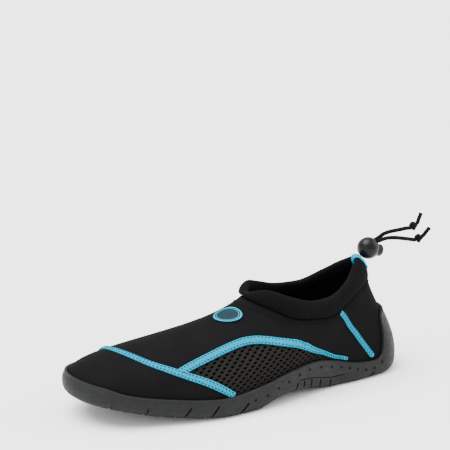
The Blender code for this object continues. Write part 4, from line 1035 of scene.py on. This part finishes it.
def build_tape(name, node, rows, side, sizes, finish, thread, tucked):
    """Woven tape with rounded edges and two rows of stitches, ending under the lip or folded and round."""
    total = 260
    phi, level, width = path_smooth(rows, side, total, -LIP_TUCK if tucked else LIP_CLEARANCE)
    across = across_path(phi, level)
    line = skin(phi, level)
    length = length_along(line)
    shares = np.array([-0.5, -0.49, -0.44, -0.36, -0.2, 0.0, 0.2, 0.36, 0.44, 0.49, 0.5])
    heights = np.array([0.0, 0.55, 0.9, 1.0, 1.03, 1.05, 1.03, 1.0, 0.9, 0.55, 0.0])
    end_gap = np.minimum(length, length[-1] - length)
    rounding = np.sqrt(np.clip(end_gap / 0.0004, 0.0, 1.0))
    fold = np.zeros(total)
    if not tucked:
        left = length[-1] - length
        fold = np.clip((TAPE_FOLD - left) / 0.0005, 0, 1)
        width = width * np.sqrt(np.clip(1 - (1 - np.clip(left / (width * 0.45), 0, 1)) ** 2, 0.02, 1))
    thickness = TAPE_THICKNESS * rounding * (1 + 0.5 * fold)
    grid = []
    cloth = np.zeros((total, len(shares), 2))
    for number, (share, height) in enumerate(zip(shares, heights)):
        new_phi, new_level = beside(phi, level, across * (width * share)[:, None])
        grid.append(skin(new_phi, np.minimum(new_level, TAPE_TOP), GAP * 0.5 + thickness * height))
        cloth[:, number, 0] = width * share
        cloth[:, number, 1] = length
    grid = np.stack(grid, 1)
    shape = Shape()
    shape.grid(grid, cloth)
    base = []
    for share in (-0.5, 0.5):
        new_phi, new_level = beside(phi, level, across * (width * share)[:, None])
        base.append(skin(new_phi, np.minimum(new_level, TAPE_TOP), -GAP * 0.5))
    shape.grid(np.stack([base[0], grid[:, 0]], 1), None)
    shape.grid(np.stack([grid[:, -1], base[1]], 1), None)
    tape = shape.item(name, [finish], merge=0.000001, sharp=70)
    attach(tape, "shoe")
    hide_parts(node)

    stitches = Shape()
    heading = np.gradient(line, axis=0)
    count = int((length[-1] - 0.002) / sizes.stitch_pitch)
    for edge in (-1, 1):
        for k in range(count):
            at = STITCH_START + (k + 0.5) * sizes.stitch_pitch
            here = [float(np.interp(at, length, value)) for value in (phi, level, width)]
            sideways = np.array([np.interp(at, length, across[:, axis]) for axis in range(3)])
            share = edge * (here[2] / 2 - STITCH_INSET)
            spot_phi, spot_level = beside(np.array(here[0]), np.array(here[1]), sideways * share)
            raised = float(np.interp(at, length, thickness))
            centre = skin(spot_phi, np.minimum(spot_level, 0.99), GAP * 0.5 + raised + 0.00002)
            normal = skin_normal(spot_phi, np.minimum(spot_level, 0.99))
            forward = unit(np.array([np.interp(at, length, heading[:, axis]) for axis in range(3)]))
            capsule(stitches, centre, forward, normal, sizes.stitch_pitch * STITCH_SHARE, STITCH_RADIUS)
    seam_row = stitches.item(name + "_stitches", [thread], merge=0.0)
    seam_row.parent = tape


def closed_curve(points, count):
    """Even places on a smooth closed curve through points."""
    points = np.asarray(points, float)
    total = len(points)
    at = np.arange(count) * total / count
    cell = at.astype(int) % total
    u = (at - np.floor(at))[:, None]
    before, here, after, later = (points[(cell + k) % total] for k in (-1, 0, 1, 2))
    return (here + 0.5 * u * (after - before + u * (2 * before - 5 * here + 4 * after - later
                                                   + u * (3 * (here - after) + later - before))))


def build_collar(colours, thread):
    """Padded collar and the stitches that hold the upper under it."""
    count = 240
    phi = shoe_turns(count)
    section = closed_curve(CUFF_SECTION, 44)
    grid = cuff_point(phi[:, None], section[:, 0], section[:, 1])
    cloth = np.zeros((count + 1, 45, 2))
    cloth[:, :, 0] = length_along(np.concatenate([grid[:, 12], grid[:1, 12]]))[:, None]
    ring = np.concatenate([grid[60], grid[60, :1]])
    cloth[:, :, 1] = length_along(ring)[None, :]
    shape = Shape()
    shape.grid(grid, cloth, True, True)
    fabric = stretch_fabric("brushed_knit_collar", tuple(colours.collar), 0.8, 0.006)
    collar = shape.item("collar_padding", [fabric], sharp=70)
    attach(collar, "shoe")
    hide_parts("collar_cuff")

    stitches = Shape()
    fine = shoe_turns(900)
    line = skin(fine, COLLAR_STITCH_LEVEL)
    length = length_along(np.concatenate([line, line[:1]]))
    for at in np.arange(0, length[-1], COLLAR_STITCH_PITCH):
        turn = float(np.interp(at, length, np.append(fine, 2 * math.pi)))
        place = skin(turn, COLLAR_STITCH_LEVEL, 0.0001)
        forward = unit(skin(turn + 0.01, COLLAR_STITCH_LEVEL, 0.0001) - place)
        normal = skin_normal(turn, COLLAR_STITCH_LEVEL)
        capsule(stitches, place, forward, normal, COLLAR_STITCH_LENGTH, COLLAR_STITCH_RADIUS)
    row = stitches.item("collar_stitches", [thread], merge=0.0)
    row.parent = collar


def build_insole(colours):
    """Foam insole with a rounded top edge."""
    phi = shoe_turns(200)
    inset = RUBBER_WALL + GAP + UPPER_WALL + GAP * 2
    shape = Shape()
    rings = []
    for extra, lift in ((0.0, 0.0), (0.0, 0.0018), (0.0004, 0.0026), (0.0012, INSOLE_THICKNESS)):
        edge = plan(phi) - plan_normal(phi) * (inset + extra)
        below = np.array([tread_at(x, y) for x, y in edge])
        low = np.maximum(below, tread_height(phi)) + SOLE_THICKNESS + GAP * 2
        rings.append(np.concatenate([edge, (low + lift)[:, None]], -1))
    grid = np.stack(rings, 1)
    shape.grid(grid, None, True)
    columns = len(rings)
    fill_ring(shape, [i * columns for i in range(len(phi))], 4)
    fill_ring(shape, [i * columns + columns - 1 for i in range(len(phi))], 10)
    fabric = stretch_fabric("brushed_foam_insole", tuple(colours.insole), 1.2, 0.004)
    insole = shape.item("insole_foam", [fabric], sharp=50)
    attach(insole, "shoe")
    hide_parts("insole")


def badge_ring(turns, size, out):
    """Oval ring of points on the instep."""
    centre_phi = BADGE_CENTRE[0] * math.pi
    centre_level = BADGE_CENTRE[1]
    ahead = bare_skin(centre_phi, centre_level + SLOPE_STEP)
    along = unit(ahead - bare_skin(centre_phi, centre_level - SLOPE_STEP))
    across = np.cross(skin_normal(centre_phi, centre_level), along)
    along, across = (along * math.cos(BADGE_TURN) + across * math.sin(BADGE_TURN),
                     across * math.cos(BADGE_TURN) - along * math.sin(BADGE_TURN))
    x = np.cos(turns) * BADGE_HALF[0] * size
    y = np.sin(turns) * BADGE_HALF[1] * size
    ring = along * x[:, None] + across * y[:, None]
    phi, level = beside(np.full(len(turns), centre_phi), np.full(len(turns), centre_level), ring)
    return skin(phi, level, out)


def build_badge(colours):
    """Moulded oval badge: raised rings round a plain field."""
    turns = shoe_turns(72)
    top = GAP * 2.4 + BADGE_THICKNESS
    shape = Shape()
    profile = [(1.0, 0.0, 0), (1.0, top - 0.0002, 0), (0.985, top, 1), (0.93, top + 0.00015, 1),
               (0.875, top, 1), (0.86, top - 0.00035, 0), (0.80, top - 0.00035, 0), (0.79, top - 0.0001, 1),
               (0.75, top - 0.0001, 1), (0.735, top - 0.00035, 0), (0.45, top - 0.0003, 0),
               (0.02, top - 0.0002, 0)]
    for (size_a, out_a, _), (size_b, out_b, layer) in zip(profile[:-1], profile[1:]):
        ends = np.stack([badge_ring(turns, size_a, out_a), badge_ring(turns, size_b, out_b)], 1)
        shape.grid(ends, None, True, layer=layer)
    field = moulded_plastic("moulded_badge_field", tuple(colours.badge_field), 0.55, 0.1)
    ring = moulded_plastic("moulded_badge_ring", tuple(colours.badge_ring), 0.45, 0.15)
    badge = shape.item("badge_plate", [field, ring], sharp=50)
    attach(badge, "shoe")
    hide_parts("badge")


def loop_point(phi, share, out, distance):
    """Place on the heel loop, a distance off the collar."""
    base = cuff_point(phi, share, out)
    away = unit(base - cuff_point(phi, min(share, 0.86), -0.0012))
    return base + away * np.asarray(distance)[..., None]


def lock_centre():
    """Middle of the cord lock's ball, resting on the back of the heel loop."""
    phi = np.array([math.pi])
    low = loop_point(phi, *LOOP_PATH[2], GAP + TAPE_THICKNESS)[0]
    high = loop_point(phi, *LOOP_PATH[3], GAP + TAPE_THICKNESS)[0]
    climb = unit(high - low)
    away = np.array([climb[2], 0.0, -climb[0]])
    return low + (high - low) * LOCK_REST + away * (BALL_RADIUS + GAP)


def from_lock(route):
    """A cord's route in the shoe's own place."""
    return [tuple(lock_centre() + np.array(point)) for point in route]


def build_heel_loop(finish):
    """Webbing loop over the back of the collar."""
    path = np.array(LOOP_PATH)
    knots = np.arange(len(path))
    at = np.linspace(0, len(path) - 1, 46)
    fine = np.stack([spline(knots, path[:, k], at) for k in range(2)], 1)
    shares = np.array([-1.0, -0.98, -0.9, -0.6, 0.0, 0.6, 0.9, 0.98, 1.0])
    heights = np.array([0.0, 0.6, 0.95, 1.0, 1.05, 1.0, 0.95, 0.6, 0.0])
    phi = math.pi + shares * LOOP_HALF_TURN * math.pi
    lift = GAP * 0.5 + TAPE_THICKNESS * heights
    grid = np.stack([loop_point(phi, share, out, lift) for share, out in fine], 0)
    cloth = np.zeros((len(grid), 9, 2))
    cloth[:, :, 1] = length_along(grid[:, 4])[:, None]
    cloth[:, :, 0] = length_along(grid[20])[None, :]
    shape = Shape()
    shape.grid(grid, cloth)
    item = shape.item("heel_webbing", [finish], sharp=70)
    thick = item.modifiers.new("thick", "SOLIDIFY")
    thick.thickness = TAPE_THICKNESS
    thick.offset = -1.0
    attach(item, "shoe")
    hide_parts("heel_loop")


def turned(name, profile, centre, sides, finish, sharp=35):
    """Turned solid about the cord lock's axis."""
    axis = Vector(TOGGLE_AXIS).normalized()
    turn = np.array(axis.to_track_quat("Z", "Y").to_matrix())
    spin = shoe_turns(sides)
    rings = []
    for distance, radius in profile:
        ring = np.stack([np.cos(spin) * radius, np.sin(spin) * radius, np.full(sides, distance)], -1)
        rings.append(ring @ turn.T + np.asarray(centre))
    shape = Shape()
    shape.grid(np.array(rings), None, False, True)
    return shape.item(name, [finish], merge=0.000001, sharp=sharp)


def build_lock(colours):
    """Cord lock: drilled ball and its sprung push button."""
    plastic = moulded_plastic("moulded_acetal_lock", tuple(colours.lock), 0.34, 0.18)
    bore = BUTTON_RADIUS + GAP
    mouth = bore + 0.0004
    face = math.sqrt(BALL_RADIUS**2 - mouth**2)
    profile = [(-0.0042, 0.0), (-0.0042, bore), (face - 0.0002, bore), (face - 0.0001, bore + 0.0001)]
    start = math.atan2(mouth, face)
    for k in range(28):
        angle = start + (math.pi - start) * k / 27
        profile.append((BALL_RADIUS * math.cos(angle), BALL_RADIUS * math.sin(angle)))
    barrel = turned("lock_ball", profile, lock_centre(), 64, plastic)
    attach(barrel, "shoe")
    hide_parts("toggle_barrel")
    tip = face + BUTTON_REACH
    dish = [(-0.0008, 0.0), (-0.0008, BUTTON_RADIUS)]
    dish += [(tip - below, BUTTON_RADIUS - inset) for below, inset in BUTTON_END]
    dish.append((tip - 0.0003, 0.0))
    button = turned("lock_button", dish, lock_centre(), 48, plastic)
    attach(button, "button")
    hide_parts("toggle_button")


def smooth_route(points, step):
    """Even points on a smooth curve through a route's own points."""
    route = np.array(points)
    fine = np.linspace(0, len(route) - 1, 400)
    slopes = np.gradient(route, axis=0)
    cell = np.minimum(fine.astype(int), len(route) - 2)
    line = between((fine - cell)[:, None], route[cell], slopes[cell], route[cell + 1], slopes[cell + 1])
    length = length_along(line)
    even = np.linspace(0, length[-1], max(3, int(length[-1] / step) + 1))
    return np.stack([np.interp(even, length, line[:, axis]) for axis in range(3)], 1)


def build_cord(name, strand, tail, sizes, finish, nodes):
    """One elastic cord end from the lock through its knot, with the knot tied in it."""
    line = smooth_route(strand + tail, 0.0014)
    curve = bpy.data.curves.new(name, "CURVE")
    curve.dimensions = "3D"
    curve.bevel_depth = sizes.cord_diameter / 2 * CORD_THICKENING
    curve.bevel_resolution = 4
    curve.use_fill_caps = True
    run = curve.splines.new("POLY")
    run.points.add(len(line) - 1)
    for point, place in zip(run.points, line + MOVE):
        point.co = (*place, 1.0)
    curve.materials.append(finish)
    cord = bpy.data.objects.new(name, curve)
    bpy.context.scene.collection.objects.link(cord)
    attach(cord, "shoe")
    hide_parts(nodes[0], nodes[1])
    before = np.array(strand[-1])
    after = np.array(tail[0])
    knot = build_knot(name + "_knot", (before + after) / 2, after - before, finish)
    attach(knot, "shoe")
    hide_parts(nodes[2])


def build_knot(name, centre, direction, finish):
    """Overhand knot pulled tight: a tube along a three-lobed loop round the cord."""
    turn = np.array(Vector(direction).normalized().to_track_quat("Z", "Y").to_matrix())
    at = shoe_turns(96)
    line = np.stack([(np.sin(at) + 2 * np.sin(2 * at)) * KNOT_SIZE,
                     (np.cos(at) - 2 * np.cos(2 * at)) * KNOT_SIZE, -np.sin(3 * at) * KNOT_RISE], -1)
    tangent = unit(np.roll(line, -1, 0) - np.roll(line, 1, 0))
    side = unit(np.cross(tangent, UP))
    rise = np.cross(side, tangent)
    spin = shoe_turns(12)[None, :, None]
    tube = line[:, None, :] + KNOT_TUBE * (side[:, None, :] * np.cos(spin) + rise[:, None, :] * np.sin(spin))
    tube = tube @ turn.T + centre
    shape = Shape()
    shape.grid(tube, None, True, True)
    return shape.item(name, [finish], merge=0.000001, sharp=80)


class SHOE_OT_camera(bpy.types.Operator):
    """Set the camera at the picture's viewing angle"""
    bl_idname = "shoe.camera"
    bl_label = "Camera"

    def execute(self, context):
        data = bpy.data.cameras.new("camera")
        data.lens = CAMERA_LENS
        data.sensor_width = 36.0
        data.clip_end = 100.0
        camera = bpy.data.objects.new("camera", data)
        camera.location = Vector(CAMERA_PLACE) + Vector(MOVE)
        camera.rotation_mode = "QUATERNION"
        camera.rotation_quaternion = Vector(CAMERA_VIEW).to_track_quat("-Z", "Y")
        context.scene.collection.objects.link(camera)
        context.scene.camera = camera
        return {"FINISHED"}


class SHOE_OT_cords(bpy.types.Operator):
    """Lay both ends of the elastic cord with their knots"""
    bl_idname = "shoe.cords"
    bl_label = "Elastic cords"

    def execute(self, context):
        sizes, colours = context.scene.shoe_sizes, context.scene.shoe_colours
        braid = plain_fibre("braided_elastic_cord", tuple(colours.cord), 0.75, 0.6)
        build_cord("cord_end_upper", from_lock(UPPER_STRAND), from_lock(UPPER_TAIL), sizes, braid,
                   ("cord_upper", "tail_upper", "knot_upper"))
        build_cord("cord_end_lower", from_lock(LOWER_STRAND), from_lock(LOWER_TAIL), sizes, braid,
                   ("cord_lower", "tail_lower", "knot_lower"))
        return {"FINISHED"}


class SHOE_OT_sole(bpy.types.Operator):
    """Mould the rubber cup sole with its lugs, slashes and dimples"""
    bl_idname = "shoe.sole"
    bl_label = "Rubber sole"

    def execute(self, context):
        build_sole(context.scene.shoe_sizes, context.scene.shoe_colours)
        return {"FINISHED"}


class SHOE_OT_upper(bpy.types.Operator):
    """Make the stretch upper and its foam insole"""
    bl_idname = "shoe.upper"
    bl_label = "Upper and insole"

    def execute(self, context):
        build_upper(context.scene.shoe_colours)
        build_insole(context.scene.shoe_colours)
        return {"FINISHED"}


class SHOE_OT_mesh(bpy.types.Operator):
    """Fit the knitted mesh in both windows"""
    bl_idname = "shoe.mesh"
    bl_label = "Mesh windows"

    def execute(self, context):
        sizes, colours = context.scene.shoe_sizes, context.scene.shoe_colours
        net = plain_fibre("knitted_polyester_mesh", tuple(colours.mesh), 0.8, 0.5)
        # The liner's finish is painted shade: near-black so that the mesh holes read as shaded
        painted_shade_liner = plain_fibre("painted_shade_mesh_liner", tuple(colours.painted_shade_liner), 0.9, 0.5)
        build_net("net_lateral", "mesh_lateral", LATERAL_PANEL, 1, sizes, [net, painted_shade_liner])
        build_net("net_medial", "mesh_medial", MEDIAL_PANEL, -1, sizes, [net, painted_shade_liner])
        return {"FINISHED"}


class SHOE_OT_tapes(bpy.types.Operator):
    """Sew the woven tapes and the webbing loop at the back"""
    bl_idname = "shoe.tapes"
    bl_label = "Woven tapes"

    def execute(self, context):
        sizes, colours = context.scene.shoe_sizes, context.scene.shoe_colours
        weave = woven_tape(colours)
        thread = plain_fibre("polyester_tape_thread", tuple(colours.thread), 0.6, 0.3)
        for name, node, rows, side, tucked in (
                ("toe_tape", "tape_toe", TOE_TAPE_INNER_END + TOE_TAPE + TOE_TAPE_END, 1, True),
                ("side_tape_lateral", "tape_side_lateral", SIDE_TAPE_FRONT + SIDE_TAPE, 1, False),
                ("side_tape_medial", "tape_side_medial", INNER_SIDE_FRONT + SIDE_TAPE[4:], -1, False),
                ("rear_tape_lateral", "tape_rear_lateral", REAR_TAPE, 1, False),
                ("rear_tape_medial", "tape_rear_medial", REAR_TAPE, -1, False)):
            build_tape(name, node, rows, side, sizes, weave, thread, tucked)
        build_heel_loop(weave)
        return {"FINISHED"}


class SHOE_OT_collar(bpy.types.Operator):
    """Pad and stitch the collar"""
    bl_idname = "shoe.collar"
    bl_label = "Padded collar"

    def execute(self, context):
        colours = context.scene.shoe_colours
        thread = plain_fibre("polyester_collar_thread", tuple(colours.collar), 0.8, 0.3)
        build_collar(colours, thread)
        return {"FINISHED"}


class SHOE_OT_badge(bpy.types.Operator):
    """Mould the plain oval badge on the instep"""
    bl_idname = "shoe.badge"
    bl_label = "Oval badge"

    def execute(self, context):
        build_badge(context.scene.shoe_colours)
        return {"FINISHED"}


class SHOE_OT_lock(bpy.types.Operator):
    """Turn the cord lock's ball and push button"""
    bl_idname = "shoe.lock"
    bl_label = "Cord lock"

    def execute(self, context):
        build_lock(context.scene.shoe_colours)
        return {"FINISHED"}


class SHOE_OT_stage(bpy.types.Operator):
    """Lay the pale floor and hang the soft studio lights"""
    bl_idname = "shoe.stage"
    bl_label = "Studio"

    def execute(self, context):
        shape = Shape()
        side = np.linspace(-FLOOR_REACH, FLOOR_REACH, 3)
        grid = np.stack(np.meshgrid(side, side, indexing="ij") + [np.zeros((3, 3))], -1)
        shape.grid(grid, None)
        finish, tree, shader = new_finish("matt_studio_floor")
        set_shader(shader, Roughness=0.9, Base_Color=tuple(context.scene.shoe_colours.floor))
        floor = shape.item("floor", [finish])
        world = bpy.data.worlds.new("studio_air")
        world.use_nodes = True
        air = world.node_tree.nodes["Background"]
        air.inputs["Color"].default_value = (1.0, 1.0, 1.0, 1.0)
        air.inputs["Strength"].default_value = AIR_LIGHT
        context.scene.world = world
        for name, place, power in LIGHTS:
            data = bpy.data.lights.new(name, "SUN")
            data.angle = math.radians(LIGHT_SPREAD)
            data.energy = power
            light = bpy.data.objects.new(name, data)
            light.location = place
            light.rotation_mode = "QUATERNION"
            light.rotation_quaternion = (-Vector(place)).to_track_quat("-Z", "Y")
            context.scene.collection.objects.link(light)
        return {"FINISHED"}


class SHOE_PT_builder(bpy.types.Panel):
    """Water shoe pieces and their sizes and colours"""
    bl_idname = "SHOE_PT_builder"
    bl_label = "Water Shoe"
    bl_space_type = "VIEW_3D"
    bl_region_type = "UI"
    bl_category = "Water Shoe"

    def draw(self, context):
        layout = self.layout
        for group in (context.scene.shoe_sizes, context.scene.shoe_colours):
            box = layout.box()
            for name in group.__annotations__:
                box.prop(group, name)
        for step in STEPS:
            layout.operator(step.bl_idname)


STEPS = (SHOE_OT_camera, SHOE_OT_cords, SHOE_OT_sole, SHOE_OT_upper, SHOE_OT_mesh, SHOE_OT_tapes,
         SHOE_OT_collar, SHOE_OT_badge, SHOE_OT_lock, SHOE_OT_stage)
CLASSES = (ShoeSizes, ShoeColours, *STEPS, SHOE_PT_builder)


def register():
    """Add the shoe's classes and settings."""
    for entry in CLASSES:
        bpy.utils.register_class(entry)
    bpy.types.Scene.shoe_sizes = bpy.props.PointerProperty(type=ShoeSizes)
    bpy.types.Scene.shoe_colours = bpy.props.PointerProperty(type=ShoeColours)


def unregister():
    """Take the shoe's classes and settings away."""
    del bpy.types.Scene.shoe_colours
    del bpy.types.Scene.shoe_sizes
    for entry in reversed(CLASSES):
        bpy.utils.unregister_class(entry)


def main():
    """Build every piece in order."""
    register()
    bpy.ops.shoe.camera()
    bpy.ops.shoe.cords()
    bpy.ops.shoe.sole()
    bpy.ops.shoe.upper()
    bpy.ops.shoe.mesh()
    bpy.ops.shoe.tapes()
    bpy.ops.shoe.collar()
    bpy.ops.shoe.badge()
    bpy.ops.shoe.lock()
    bpy.ops.shoe.stage()


if __name__ == "__main__":
    main()
